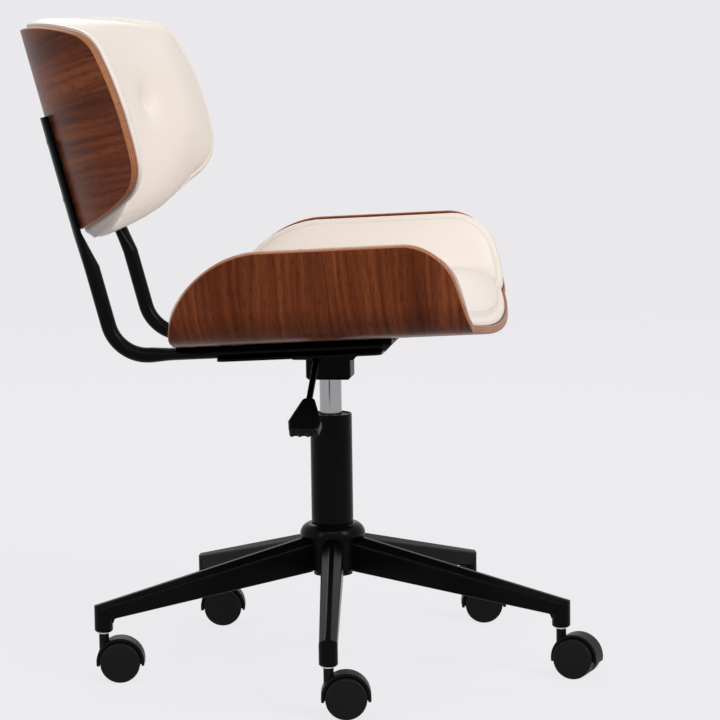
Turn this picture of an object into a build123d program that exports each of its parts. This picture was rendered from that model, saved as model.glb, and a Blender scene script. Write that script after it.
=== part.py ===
from build123d import *
import math
import os

os.makedirs("parts", exist_ok=True)

# Swivel chair with a bent-ply seat and back, in millimetres and degrees.
# The origin is on the floor under the swivel axis, +X is the way the sitter faces, +Z is up.

# Clearances
fixed_gap = 0.05  # round faces that are pressed, screwed or welded together
running_gap = 0.06  # radial play of turning and sliding fits
rest_gap = 0.3  # padding beside wood, and faces that move past each other

# Casters: twin wheels under a hood, turning on a stem
caster_count = 5
first_leg_angle = -83.0
stem_circle = 301.0
trail_angles = [8.4, -15.0, 8.4, 8.4, 8.4]
caster_trail = 20.5
wheel_radius = 25.0
wheel_width = 18.0
wheel_edge = 2.5
wheel_dish = 1.5
wheel_cap_radius = 9.0
wheel_cover = 4.0
wheel_play = 0.5
web_thickness = 7.0
axle_radius = 3.0
axle_boss_radius = 7.0
hood_radius = 30.0
hood_wall = 3.4
hood_width = 26.0
hood_dip = 5.0
neck_radius = 6.2
neck_top = 60.0
stem_root_radius = 4.0
stem_root_depth = 12.0
stem_collar_radius = 6.6
stem_collar_height = 1.7
stem_radius = 5.5
stem_height = 24.0
sleeve_wall = 2.0

# Five-legged base: a hub, a domed collar over the welds, and pressed legs
hub_radius = 33.5
hub_bottom = 123.0
hub_top = 166.0
collar_radius = 41.5
collar_height = 15.5
collar_lip = 2.5
collar_rim = 4.0
collar_bulge = 1.8
leg_root_width = 28.0
leg_tip_width = 21.6
leg_root_ridge = 7.0
leg_tip_ridge = 6.0
leg_root_top = 165.4
leg_tip_top = 95.6
leg_root_bottom = 120.5
leg_tip_bottom = 75.0
leg_root_shoulder = 9.0
leg_tip_shoulder = 4.5
leg_shoulder_round = 5.0
leg_edge = 2.2
leg_overlap = 15.0
socket_radius = 11.5
socket_height = 26.0
socket_chamfer = 2.0
gusset_radius = 7.0

# Column and gas lift
column_radius = 26.6
column_wall = 2.0
column_bottom = 115.0
lift_shown = 44.9  # bright cylinder between the column and the receiver, seat lowest
column_floor = 3.0
column_rim = 1.2
taper_angle = 1.44
taper_top = 190.0
bush_length = 80.0
bush_sink = 1.5
lift_stroke = 80.0
cylinder_radius = 14.0
cylinder_wall = 2.0
cylinder_gland = 12.0
chamber_length = 150.0
rod_radius = 5.0
rod_shoulder_radius = 8.0
rod_shoulder_height = 5.0
rod_tail = 6.0
clip_radius = 9.0
clip_thickness = 1.5
bearing_radius = 12.0
race_thickness = 1.8
ball_radius = 1.6
ball_count = 8
ball_circle = 8.6
bumper_radius = 11.0
bumper_height = 10.0
piston_height = 14.0
button_radius = 4.5
button_height = 20.7
button_rise = 8.7

# Receiver and pressed seat plate
receiver_length = 57.0
receiver_width = 42.0
receiver_height = 30.5
receiver_corner = 4.0
receiver_chamfer = 3.0
pan_drop = 24.7
pan_length = 75.0
pan_width = 120.0
pan_mouth_length = 104.0
pan_mouth_width = 146.0
plate_thickness = 3.0
plate_rear = -124.0
plate_front = 82.0
plate_half_width = 130.0
plate_corner = 10.0

# Height lever
lever_x = -7.0
pivot_y = -40.0
pivot_rise = 12.0
pivot_radius = 2.5
knuckle_radius = 5.0
knuckle_length = 12.0
ear_thickness = 3.0
ear_width = 16.0
ear_play = 0.4
tongue_width = 22.0
tongue_thickness = 3.0
tongue_reach = 0.5
tongue_length = 31.5
lever_rod_radius = 4.0
lever_bend_y = -54.0
lever_bend_radius = 14.0
lever_drop = 33.5
paddle_start = 96.0
paddle_length = 60.0
paddle_root_width = 14.0
paddle_tip_width = 35.0
paddle_wide_width = 41.0
paddle_shoulder = 42.0
paddle_thickness = 12.0
paddle_corner = 5.0
paddle_edge = 2.0
paddle_grip_radius = 6.0
paddle_grip_depth = 2.0
lever_socket = 34.0
slot_half_width = 6.5
slot_inner_y = -54.0

# Seat shell: a shallow floor bent up into two leaning wings
seat_height = 421.7
seat_tilt = 2.6
seat_ply = 10.0
seat_floor_radius = 1200.0
seat_bend_radius = 55.0
wing_lean = 12.0
wing_top_half = 260.0
wing_top = 131.3
wing_rear = -166.0
wing_rear_radius = 130.0
wing_front = 194.2
wing_front_radius = 68.0
wing_front_lean = 14.0
seat_front_bow = 17.0
seat_rear_bow = 19.0

# Seat pad
seat_pad_floor = 46.0
seat_pad_edge = 32.0
seat_pad_bend = 20.0
seat_pad_tip = 7.0
seat_pad_lip = 6.0
seat_pad_margin = 4.0
seat_pad_front_roll = 34.0
seat_pad_rear_roll = 26.0

# Back shell: a round wrap with straight wings, leaning back
back_x = -315.5
back_rise = 136.6
back_recline = 14.91
back_ply = 9.0
back_radius = 285.0
back_half_angle = 50.0
back_height = 260.0
back_front_reach = 143.2
back_front_middle = 105.7
back_low_reach = 138.5
back_low_rise = 39.1
back_high_reach = 126.9
back_high_drop = 38.8
back_lower_corner = 50.0
back_upper_corner = 47.5

# Back pad
back_pad_thickness = 48.0
back_pad_side = 30.0
back_pad_tip = 8.0
back_pad_lip = 6.0
back_pad_margin = 4.0
back_pad_rise = 12.0
back_pad_hang = 14.0
back_pad_roll = 40.0
tuft_y = 150.0
tuft_height = 122.0
tuft_radius = 26.0
tuft_depth = 8.0

# Bent back tubes
tube_y = 115.0
tube_radius = 9.5
tube_wall = 1.8
tube_bend = 50.0
tube_flat_half_height = 7.8
tube_flat_half_width = 11.0
tube_straight = 3.0
tube_flat_taper = 24.0
tube_front = 84.0
tube_pinch_half_thickness = 4.75
tube_pinch_half_width = 12.6
tube_pinch_start = -48.0
tube_pinch_taper = 45.0
tube_top = 147.0
tube_forward = 24.7
tube_cap = 3.0
plug_length = 11.0
plug_bevel = 9.0
plug_spigot = 14.0
plug_play = 0.15

# Screws and tee nuts
bolt_radius = 3.0
bolt_hole_play = 0.3
bolt_head_radius = 5.5
bolt_head_height = 2.8
bolt_hex = 2.2
bolt_hex_depth = 2.0
seat_bolt_places = [-95.0, 62.0]
back_bolt_places = [42.0, 116.0]
nut_barrel_radius = 4.0
nut_barrel_length = 6.0
nut_flange_radius = 9.0
nut_flange_thickness = 1.2
nut_sink = 0.3

# Derived places on the column and lift
taper = math.tan(math.radians(taper_angle))
pan_bottom = seat_height - pan_drop
receiver_bottom = pan_bottom - receiver_height
column_top = receiver_bottom - lift_shown
pivot_z = pan_bottom + pivot_rise
column_bore = column_radius - column_wall
column_foot_radius = column_radius - (taper_top - column_bottom) * taper
bearing_base = column_bottom + column_floor
bearing_top = bearing_base + 2 * race_thickness + 2 * ball_radius
shoulder_top = bearing_top + rod_shoulder_height
bumper_top = shoulder_top + bumper_height
cylinder_bottom = bumper_top + rest_gap
cylinder_top = pan_bottom - rest_gap
chamber_bottom = cylinder_bottom + cylinder_gland
piston_bottom = chamber_bottom + lift_stroke + running_gap
receiver_top_radius = cylinder_radius - (pan_bottom - receiver_bottom) * taper
button_top = pan_bottom + button_rise

# Derived places on the casters
wheel_inner_y = web_thickness / 2 + wheel_play
socket_bottom = neck_top + stem_collar_height + rest_gap
sleeve_radius = stem_radius + running_gap + sleeve_wall
leg_tip_reach = stem_circle + socket_radius
leg_angles = [first_leg_angle + 360 / caster_count * number for number in range(caster_count)]

# Seat directions: along the seat, up from it, and the planes that its sketches lie on
seat_along = Vector(math.cos(math.radians(seat_tilt)), 0, math.sin(math.radians(seat_tilt)))
seat_up = Vector(-math.sin(math.radians(seat_tilt)), 0, math.cos(math.radians(seat_tilt)))
seat_origin = Vector(0, 0, seat_height)
seat_plan = Plane(origin=seat_origin, x_dir=seat_along, z_dir=seat_up)
seat_section = Plane(origin=seat_origin, x_dir=(0, 1, 0), z_dir=seat_along)
seat_side = Plane(origin=seat_origin, x_dir=seat_along, z_dir=(0, -1, 0))

# The floor arc, the bend arc and the wing line of the seat section touch smoothly
wing_run = Vector(math.sin(math.radians(wing_lean)), math.cos(math.radians(wing_lean)))
wing_inward = Vector(-wing_run.Y, wing_run.X)
wing_offset = Vector(wing_top_half, wing_top) + wing_inward * seat_bend_radius
floor_centre = Vector(0, seat_floor_radius)
floor_to_wing = wing_offset - floor_centre
slide_half = floor_to_wing.X * wing_run.X + floor_to_wing.Y * wing_run.Y
slide_rest = (
    floor_to_wing.X**2 + floor_to_wing.Y**2 - (seat_floor_radius - seat_bend_radius) ** 2
)
bend_centre = wing_offset + wing_run * (-slide_half - math.sqrt(slide_half**2 - slide_rest))
floor_end_angle = math.degrees(math.atan2(bend_centre.X, seat_floor_radius - bend_centre.Y))
wing_rear_centre = wing_rear + wing_rear_radius
wing_front_centre = wing_front - wing_front_radius
front_turn = math.radians(wing_front_lean)
front_turn_x = wing_front_centre + wing_front_radius * math.cos(front_turn)
front_turn_height = wing_top - wing_front_radius + wing_front_radius * math.sin(front_turn)
floor_half = seat_floor_radius * math.sin(math.radians(floor_end_angle))
lip_drop = math.sqrt((seat_bend_radius - seat_ply) ** 2 - (floor_half - bend_centre.X) ** 2)
floor_lip = bend_centre.Y - lip_drop

# Back directions and planes
back_forward = Vector(math.cos(math.radians(back_recline)), 0, math.sin(math.radians(back_recline)))
back_up = Vector(-math.sin(math.radians(back_recline)), 0, math.cos(math.radians(back_recline)))
back_origin = Vector(back_x, 0, seat_height + back_rise)
back_plan = Plane(origin=back_origin, x_dir=(0, -1, 0), z_dir=back_up)
back_side = Plane(origin=back_origin, x_dir=back_forward, z_dir=(0, -1, 0))

# The tubes: a run under the seat and an upright that lies on the back of the back shell
seat_floor_at_tube = seat_floor_radius - math.sqrt(seat_floor_radius**2 - tube_y**2)
tube_run_height = seat_floor_at_tube - rest_gap - tube_flat_half_height
plate_top = tube_run_height - tube_flat_half_height
tube_circle = back_radius + rest_gap + tube_pinch_half_thickness
tube_turn = math.degrees(math.asin(tube_y / tube_circle))
pinch_forward = back_radius - math.sqrt(tube_circle**2 - tube_y**2)
upright_foot = back_origin + back_forward * tube_forward
run_start = seat_origin + seat_up * tube_run_height
run_gap = run_start - upright_foot
run_cross = seat_along.X * back_up.Z - seat_along.Z * back_up.X
corner_height = (seat_along.X * run_gap.Z - seat_along.Z * run_gap.X) / run_cross
tube_corner = upright_foot + back_up * corner_height
bend_half_turn = math.radians(90 - back_recline + seat_tilt) / 2
run_corner = (tube_corner - run_start).dot(seat_along)
tube_flat_end = run_corner + tube_bend * math.tan(bend_half_turn) + tube_straight

# Seats of the tee nuts, from the seat bolts' planes and from the back bolts' planes
nut_low_side = tube_y - nut_flange_radius
floor_top_at_nut = seat_floor_radius - math.sqrt((seat_floor_radius - seat_ply) ** 2 - nut_low_side**2)
seat_nut_face = floor_top_at_nut - nut_sink - nut_flange_thickness - plate_top + plate_thickness
back_nut_face = nut_sink + nut_flange_thickness - back_ply
back_head_face = rest_gap + 2 * tube_pinch_half_thickness
head_taper = math.degrees(math.atan((bolt_head_radius - bolt_radius) / bolt_head_height))


def rear_edge(height):
    """Rear limit of the seat shell at a height above the floor's lowest line."""
    rise = max(0.0, height - (wing_top - wing_rear_radius))
    return wing_rear_centre - math.sqrt(wing_rear_radius**2 - rise**2)


def front_edge(height):
    """Front limit of the seat shell at a height above the floor's lowest line."""
    if height < front_turn_height:
        return front_turn_x + (front_turn_height - height) * math.tan(front_turn)
    rise = height - (wing_top - wing_front_radius)
    return wing_front_centre + math.sqrt(wing_front_radius**2 - rise**2)


# Where the bowed edges of the seat meet its wings
rear_side = rear_edge(floor_lip)
front_side = front_edge(floor_lip)


def seat_trough(inset):
    """Draw the space inside the seat section, closed across above the wings."""
    floor_radius = seat_floor_radius - inset
    bend_radius = seat_bend_radius - inset
    angle = math.radians(floor_end_angle)
    floor_end = floor_centre + Vector(math.sin(angle), -math.cos(angle)) * floor_radius
    wing_start = bend_centre - wing_inward * bend_radius
    mid_angle = math.radians((floor_end_angle + 90 - wing_lean) / 2)
    bend_mid = bend_centre + Vector(math.sin(mid_angle), -math.cos(mid_angle)) * bend_radius
    wing_end = wing_start + wing_run * wing_top
    with BuildLine() as outline:
        ThreePointArc((-floor_end.X, floor_end.Y), (0, inset), (floor_end.X, floor_end.Y))
        ThreePointArc((floor_end.X, floor_end.Y), (bend_mid.X, bend_mid.Y), (wing_start.X, wing_start.Y))
        Line((wing_start.X, wing_start.Y), (wing_end.X, wing_end.Y))
        Line((wing_end.X, wing_end.Y), (-wing_end.X, wing_end.Y))
        Line((-wing_end.X, wing_end.Y), (-wing_start.X, wing_start.Y))
        ThreePointArc((-wing_start.X, wing_start.Y), (-bend_mid.X, bend_mid.Y), (-floor_end.X, floor_end.Y))
    make_face(outline.edges())


def back_wrap(inset):
    """Draw the space inside the back's plan, closed across in front of the wings."""
    radius = back_radius - inset
    angle = math.radians(back_half_angle)
    arc_end = (radius * math.sin(angle), back_radius - radius * math.cos(angle))
    wing_end = (
        arc_end[0] + back_front_reach * math.cos(angle),
        arc_end[1] + back_front_reach * math.sin(angle),
    )
    with BuildLine() as outline:
        ThreePointArc((-arc_end[0], arc_end[1]), (0, inset), arc_end)
        Line(arc_end, wing_end)
        Line(wing_end, (-wing_end[0], wing_end[1]))
        Line((-wing_end[0], wing_end[1]), (-arc_end[0], arc_end[1]))
    make_face(outline.edges())


def back_low(reach):
    """Lower edge of the back shell at a distance forward of its rear."""
    return back_low_rise * (reach / back_low_reach) ** 2


def back_high(reach):
    """Upper edge of the back shell at a distance forward of its rear."""
    return back_height - back_high_drop * (reach / back_high_reach) ** 2


def bow(sagitta, side):
    """How far a bowed seat edge stands out at a distance from the middle."""
    radius = (floor_half**2 + sagitta**2) / (2 * sagitta)
    return max(0.0, sagitta - radius + math.sqrt(radius**2 - min(side**2, floor_half**2)))


def pad_section(plane, rear, front, lift, rear_roll, front_roll, lip):
    """Draw one slice of a pad: flat below, rolled over at both ends, crowned on top."""
    shoulder = lip + 0.8 * (lift - lip)
    rear_top = rear + rear_roll
    front_top = front - front_roll
    middle = (rear + front) / 2
    with BuildSketch(plane) as pad_slice:
        with BuildLine():
            Line((rear, 0), (front, 0))
            Line((front, 0), (front, lip))
            ThreePointArc(
                (front, lip),
                (front - 0.29 * front_roll, lip + 0.68 * (shoulder - lip)),
                (front_top, shoulder),
            )
            ThreePointArc((front_top, shoulder), (middle, lift), (rear_top, shoulder))
            ThreePointArc(
                (rear_top, shoulder),
                (rear + 0.29 * rear_roll, lip + 0.68 * (shoulder - lip)),
                (rear, lip),
            )
            Line((rear, lip), (rear, 0))
        make_face()
    return pad_slice.sketch


def tube_body(inset, mode):
    """Add or cut one back tube at the middle plane, drawn smaller by an inset."""
    run_end = run_start + seat_along * tube_flat_end
    flat_start = run_start + seat_along * (tube_flat_end + tube_flat_taper)
    round_end = upright_foot + back_up * tube_pinch_start
    pinch_height = tube_pinch_start + tube_pinch_taper
    pinch_start = back_origin + back_forward * pinch_forward + back_up * pinch_height
    round_plane = Plane(origin=run_end, x_dir=(0, 1, 0), z_dir=seat_along)
    flat_plane = Plane(origin=flat_start, x_dir=(0, 1, 0), z_dir=seat_along)
    turn = math.radians(tube_turn)
    pinch_across = Vector(0, -math.cos(turn), 0) - back_forward * math.sin(turn)
    round_top = Plane(origin=round_end, x_dir=pinch_across, z_dir=back_up)
    pinch_plane = Plane(origin=pinch_start, x_dir=pinch_across, z_dir=back_up)
    radius = tube_radius - inset
    with BuildLine() as tube_path:
        FilletPolyline(run_end, tube_corner, round_end, radius=tube_bend)
    with BuildSketch(Plane(origin=run_end, x_dir=(0, 1, 0), z_dir=-seat_along)) as tube_ring:
        Circle(radius)
    sweep(tube_ring.sketch, path=tube_path.wires()[0], mode=mode)
    with BuildSketch(round_plane) as run_round:
        Ellipse(radius, radius)
    with BuildSketch(flat_plane) as run_flat:
        Ellipse(tube_flat_half_width - inset, tube_flat_half_height - inset)
    loft([run_round.sketch, run_flat.sketch], mode=mode)
    extrude(run_flat.sketch, amount=tube_front - tube_flat_end - tube_flat_taper, mode=mode)
    with BuildSketch(round_top) as top_round:
        Ellipse(radius, radius)
    with BuildSketch(pinch_plane) as top_flat:
        Ellipse(tube_pinch_half_width - inset, tube_pinch_half_thickness - inset)
    loft([top_round.sketch, top_flat.sketch], mode=mode)
    end_wall = tube_cap if inset else 0
    extrude(top_flat.sketch, amount=tube_top - pinch_height - end_wall, mode=mode)


def seat_bolt_planes():
    """Planes on the underside of the seat plate, one at each seat bolt."""
    height = plate_top - plate_thickness
    return [
        Plane(origin=seat_origin + seat_along * place + seat_up * height + Vector(0, side * tube_y, 0),
              x_dir=seat_along, z_dir=seat_up)
        for place in seat_bolt_places for side in (-1, 1)
    ]


def back_bolt_planes():
    """Planes on the outer face of the back shell, one at each back bolt, pointing rearwards."""
    planes = []
    for place in back_bolt_places:
        for side in (-1, 1):
            angle = math.radians(tube_turn)
            outward = back_forward * -math.cos(angle) + Vector(0, side * math.sin(angle), 0)
            centre = back_origin + back_up * place + back_forward * back_radius
            planes.append(Plane(origin=centre + outward * back_radius, x_dir=back_up, z_dir=outward))
    return planes


def sunk_head(plane, direction, growth, mode):
    """Add or cut a countersunk bolt head whose flat face lies on a plane."""
    with BuildSketch(plane) as head_face:
        Circle(bolt_head_radius + growth)
    extrude(head_face.sketch, amount=direction * bolt_head_height, taper=head_taper, mode=mode)


# Base hub: a turned steel boss with a tapered bore for the column
with BuildPart() as base_hub:
    with BuildSketch(Plane.XZ):
        with BuildLine():
            Polyline(
                (column_radius + fixed_gap - (taper_top - hub_bottom) * taper, hub_bottom),
                (hub_radius, hub_bottom),
                (hub_radius, hub_top),
                (column_radius + fixed_gap - (taper_top - hub_top) * taper, hub_top),
                close=True,
            )
        make_face()
    revolve(axis=Axis.Z)
base_hub.part.label = "base_hub"
export_step(base_hub.part, "parts/base_hub.step")

# Domed collar that hides the weld between the hub and the legs
with BuildPart() as hub_collar:
    collar_bore = column_radius + fixed_gap
    collar_top = hub_top + collar_height
    with BuildSketch(Plane.XZ):
        with BuildLine():
            Polyline(
                (collar_bore + collar_rim, collar_top),
                (collar_bore, collar_top),
                (collar_bore, hub_top),
                (collar_radius, hub_top),
                (collar_radius, hub_top + collar_lip),
            )
            ThreePointArc(
                (collar_radius, hub_top + collar_lip),
                (
                    (collar_radius + collar_bore + collar_rim) / 2 + collar_bulge,
                    (hub_top + collar_lip + collar_top) / 2 + collar_bulge,
                ),
                (collar_bore + collar_rim, collar_top),
            )
        make_face()
    revolve(axis=Axis.Z)
hub_collar.part.label = "hub_collar"
export_step(hub_collar.part, "parts/hub_collar.step")


def along_leg(root, tip, reach):
    """Straight-line value of a leg size at a distance from the swivel axis."""
    return root + (tip - root) * (reach - hub_radius) / (leg_tip_reach - hub_radius)


# One pressed leg along +X, its end turned down into the caster's socket
with BuildPart() as leg:
    for reach in (hub_radius - leg_overlap, leg_tip_reach):
        half = along_leg(leg_root_width, leg_tip_width, reach) / 2
        ridge = along_leg(leg_root_ridge, leg_tip_ridge, reach) / 2
        top = along_leg(leg_root_top, leg_tip_top, reach)
        bottom = along_leg(leg_root_bottom, leg_tip_bottom, reach)
        shoulder = top - along_leg(leg_root_shoulder, leg_tip_shoulder, reach)
        with BuildSketch(Plane.YZ.offset(reach)) as leg_slice:
            with BuildLine():
                Polyline(
                    (-half, bottom), (half, bottom), (half, shoulder),
                    (ridge, top), (-ridge, top), (-half, shoulder), close=True,
                )
            make_face()
            fillet(leg_slice.vertices().group_by(Axis.Y)[1], leg_shoulder_round)
            fillet(leg_slice.vertices().group_by(Axis.Y)[0], leg_edge)
            fillet(leg_slice.vertices().group_by(Axis.Y)[-1], leg_edge)
    loft(ruled=True)
    with BuildSketch(Plane.XY):
        with Locations((stem_circle / 2, 0)):
            Rectangle(stem_circle, 2 * leg_root_width)
        with Locations((stem_circle, 0)):
            Circle(socket_radius)
    extrude(amount=leg_root_top + leg_root_width, mode=Mode.INTERSECT)
    gusset_edge = stem_circle - socket_radius
    gusset_top = along_leg(leg_root_bottom, leg_tip_bottom, gusset_edge - gusset_radius)
    with BuildSketch(Plane.XZ):
        with Locations((gusset_edge - gusset_radius, gusset_top - gusset_radius)):
            Rectangle(2 * gusset_radius, gusset_radius + leg_edge, align=(Align.MIN, Align.MIN))
            Circle(gusset_radius, mode=Mode.SUBTRACT)
    extrude(amount=socket_radius / 2, both=True)
    with BuildSketch(Plane.XY.offset(socket_bottom)):
        with Locations((stem_circle, 0)):
            Circle(socket_radius - socket_chamfer)
    extrude(amount=socket_chamfer, taper=-45)
    with BuildSketch(Plane.XY.offset(socket_bottom + socket_chamfer)):
        with Locations((stem_circle, 0)):
            Circle(socket_radius)
    extrude(amount=socket_height - socket_chamfer)
    with BuildSketch(Plane.XY.offset(socket_bottom)):
        with Locations((stem_circle, 0)):
            Circle(sleeve_radius + fixed_gap)
    extrude(amount=socket_height, mode=Mode.SUBTRACT)
    with BuildSketch(Plane.XY):
        Circle(hub_radius + fixed_gap)
    extrude(amount=leg_root_top + leg_root_width, mode=Mode.SUBTRACT)

for number, angle in enumerate(leg_angles, start=1):
    with BuildPart() as base_leg:
        add(leg.part, rotation=(0, 0, angle))
    base_leg.part.label = f"base_leg_{number}"
    export_step(base_leg.part, f"parts/base_leg_{number}.step")

# Steel sleeves pressed into the leg ends
with BuildPart() as caster_sockets:
    with PolarLocations(stem_circle, caster_count, start_angle=first_leg_angle):
        with Locations((0, 0, socket_bottom)):
            Cylinder(sleeve_radius, socket_height, align=(Align.CENTER, Align.CENTER, Align.MIN))
            Cylinder(
                stem_radius + running_gap, socket_height,
                align=(Align.CENTER, Align.CENTER, Align.MIN), mode=Mode.SUBTRACT,
            )
caster_sockets.part.label = "caster_sockets"
export_step(caster_sockets.part, "parts/caster_sockets.step")

# Column: a steel tube with a tapered foot and a holed floor
with BuildPart() as column_tube:
    with BuildSketch(Plane.XZ):
        with BuildLine():
            Polyline(
                (rod_radius + running_gap, column_bottom),
                (column_foot_radius, column_bottom),
                (column_radius, taper_top),
                (column_radius, column_top),
                (column_bore, column_top),
                (column_bore, taper_top),
                (column_foot_radius - column_wall, bearing_base),
                (rod_radius + running_gap, bearing_base),
                close=True,
            )
        make_face()
    revolve(axis=Axis.Z)
    rim = column_tube.edges().group_by(Axis.Z)[-1].sort_by(SortBy.RADIUS)[-1]
    fillet(rim, column_rim)
column_tube.part.label = "column_tube"
export_step(column_tube.part, "parts/column_tube.step")

# Plastic bush that guides the cylinder in the top of the column
with BuildPart() as guide_bush:
    with BuildSketch(Plane.XY.offset(column_top - bush_sink - bush_length)):
        Circle(column_bore - fixed_gap)
        Circle(cylinder_radius + running_gap, mode=Mode.SUBTRACT)
    extrude(amount=bush_length)
guide_bush.part.label = "guide_bush"
export_step(guide_bush.part, "parts/guide_bush.step")

# Thrust bearing on the column's floor: two races and a ring of balls
with BuildPart() as thrust_bearing:
    for base in (bearing_base, bearing_base + race_thickness + 2 * ball_radius):
        with BuildSketch(Plane.XY.offset(base)):
            Circle(bearing_radius)
            Circle(rod_radius + running_gap, mode=Mode.SUBTRACT)
        extrude(amount=race_thickness)
    with Locations((0, 0, bearing_base + race_thickness + ball_radius)):
        with PolarLocations(ball_circle, ball_count):
            Sphere(ball_radius - fixed_gap)
thrust_bearing.part.label = "thrust_bearing"
export_step(thrust_bearing.part, "parts/thrust_bearing.step")

# Piston rod: its shoulder stands on the bearing and its tail passes through the column's floor
with BuildPart() as piston_rod:
    with BuildSketch(Plane.XZ):
        with BuildLine():
            Polyline(
                (0, column_bottom - rod_tail),
                (rod_radius, column_bottom - rod_tail),
                (rod_radius, bearing_top),
                (rod_shoulder_radius, bearing_top),
                (rod_shoulder_radius, shoulder_top),
                (rod_radius, shoulder_top),
                (rod_radius, piston_bottom + piston_height),
                (0, piston_bottom + piston_height),
                close=True,
            )
        make_face()
    revolve(axis=Axis.Z)
piston_rod.part.label = "piston_rod"
export_step(piston_rod.part, "parts/piston_rod.step")

# Piston, bumper and clip are rings on the rod
rod_rings = {
    "piston_head": (piston_bottom, piston_height, cylinder_radius - cylinder_wall - running_gap),
    "rod_bumper": (shoulder_top, bumper_height, bumper_radius),
    "rod_clip": (column_bottom - rest_gap - clip_thickness, clip_thickness, clip_radius),
}
for name, (base, height, radius) in rod_rings.items():
    with BuildPart() as rod_ring:
        with BuildSketch(Plane.XY.offset(base)):
            Circle(radius)
            Circle(rod_radius + fixed_gap, mode=Mode.SUBTRACT)
        extrude(amount=height)
    rod_ring.part.label = name
    export_step(rod_ring.part, f"parts/{name}.step")

# Gas cylinder: a polished tube with a tapered head that wedges into the receiver
with BuildPart() as gas_cylinder:
    chamber_radius = cylinder_radius - cylinder_wall
    button_bore = button_radius + running_gap
    button_bottom = button_top - button_height
    head_radius = cylinder_radius - (cylinder_top - receiver_bottom) * taper
    with BuildSketch(Plane.XZ):
        with BuildLine():
            Polyline(
                (rod_radius + running_gap, cylinder_bottom),
                (cylinder_radius, cylinder_bottom),
                (cylinder_radius, receiver_bottom),
                (head_radius, cylinder_top),
                (button_bore, cylinder_top),
                (button_bore, button_bottom - button_rise),
                (0, button_bottom - button_rise),
                (0, chamber_bottom + chamber_length),
                (chamber_radius, chamber_bottom + chamber_length),
                (chamber_radius, chamber_bottom),
                (rod_radius + running_gap, chamber_bottom),
                close=True,
            )
        make_face()
    revolve(axis=Axis.Z)
gas_cylinder.part.label = "gas_cylinder"
export_step(gas_cylinder.part, "parts/gas_cylinder.step")

# Release button in the cylinder's head, pressed by the lever
with BuildPart() as release_button:
    with BuildSketch(Plane.XY.offset(button_top - button_height)):
        Circle(button_radius)
    extrude(amount=button_height)
release_button.part.label = "release_button"
export_step(release_button.part, "parts/release_button.step")

# Receiver: a block under the seat plate with the tapered socket of the cylinder
with BuildPart() as cylinder_receiver:
    with BuildSketch(Plane.XY.offset(receiver_bottom)) as receiver_plan:
        Rectangle(receiver_length, receiver_width)
        fillet(receiver_plan.vertices(), receiver_corner)
    extrude(amount=pan_bottom - receiver_bottom)
    chamfer(cylinder_receiver.faces().sort_by(Axis.Z)[0].edges(), receiver_chamfer)
    with BuildSketch(Plane.XY.offset(receiver_bottom)):
        Circle(cylinder_radius + fixed_gap)
    with BuildSketch(Plane.XY.offset(pan_bottom)):
        Circle(receiver_top_radius + fixed_gap)
    loft(mode=Mode.SUBTRACT)
cylinder_receiver.part.label = "cylinder_receiver"
export_step(cylinder_receiver.part, "parts/cylinder_receiver.step")

# Seat plate: a pressed flange under the tubes with a level pan for the receiver and lever
with BuildPart() as seat_plate:
    plate_plane = seat_plan.offset(plate_top - plate_thickness)
    with BuildSketch(plate_plane) as plate_outline:
        with Locations(((plate_rear + plate_front) / 2, 0)):
            Rectangle(plate_front - plate_rear, 2 * plate_half_width)
        fillet(plate_outline.vertices(), plate_corner)
    extrude(amount=plate_thickness)
    with BuildSketch(Plane.XY.offset(pan_bottom)):
        Rectangle(pan_length, pan_width)
    with BuildSketch(plate_plane):
        Rectangle(pan_mouth_length, pan_mouth_width)
    loft(ruled=True)
    with BuildSketch(Plane.XY.offset(pan_bottom + plate_thickness)):
        Rectangle(pan_length - 2 * plate_thickness, pan_width - 2 * plate_thickness)
    with BuildSketch(plate_plane.offset(plate_thickness)):
        Rectangle(pan_mouth_length - 2 * plate_thickness, pan_mouth_width - 2 * plate_thickness)
    loft(ruled=True, mode=Mode.SUBTRACT)
    with BuildSketch(Plane.XY.offset(pan_bottom)):
        Circle(button_radius + rest_gap)
    extrude(amount=plate_thickness, mode=Mode.SUBTRACT)
    with BuildSketch(Plane.XY.offset(pan_bottom)):
        with Locations((lever_x, slot_inner_y)):
            slot_length = slot_inner_y + pan_mouth_width / 2
            Rectangle(2 * slot_half_width, slot_length, align=(Align.CENTER, Align.MAX))
    extrude(amount=pivot_z - pan_bottom, mode=Mode.SUBTRACT)
    for plane in seat_bolt_planes():
        with BuildSketch(plane):
            Circle(bolt_radius + bolt_hole_play)
        extrude(amount=plate_thickness, mode=Mode.SUBTRACT)
        sunk_head(plane, 1, bolt_hole_play, Mode.SUBTRACT)
seat_plate.part.label = "seat_plate"
export_step(seat_plate.part, "parts/seat_plate.step")

# Lever bracket: two ears on the pan's floor that hold the lever's pin
ear_inside = knuckle_length / 2 + ear_play
pan_floor_top = pan_bottom + plate_thickness
with BuildPart() as lever_bracket:
    with BuildSketch(Plane.YZ.offset(lever_x)):
        with Locations((pivot_y, pivot_z)):
            Circle(ear_width / 2)
        with Locations((pivot_y, (pan_floor_top + pivot_z) / 2)):
            Rectangle(ear_width, pivot_z - pan_floor_top)
        with Locations((pivot_y, pivot_z)):
            Circle(pivot_radius + fixed_gap, mode=Mode.SUBTRACT)
    extrude(amount=ear_inside + ear_thickness, both=True)
    with BuildSketch(Plane.XY.offset(pan_floor_top + plate_thickness / 2)):
        with Locations((lever_x, pivot_y)):
            Rectangle(2 * ear_inside, 2 * ear_width)
    extrude(amount=pivot_z, mode=Mode.SUBTRACT)
lever_bracket.part.label = "lever_bracket"
export_step(lever_bracket.part, "parts/lever_bracket.step")

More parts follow.
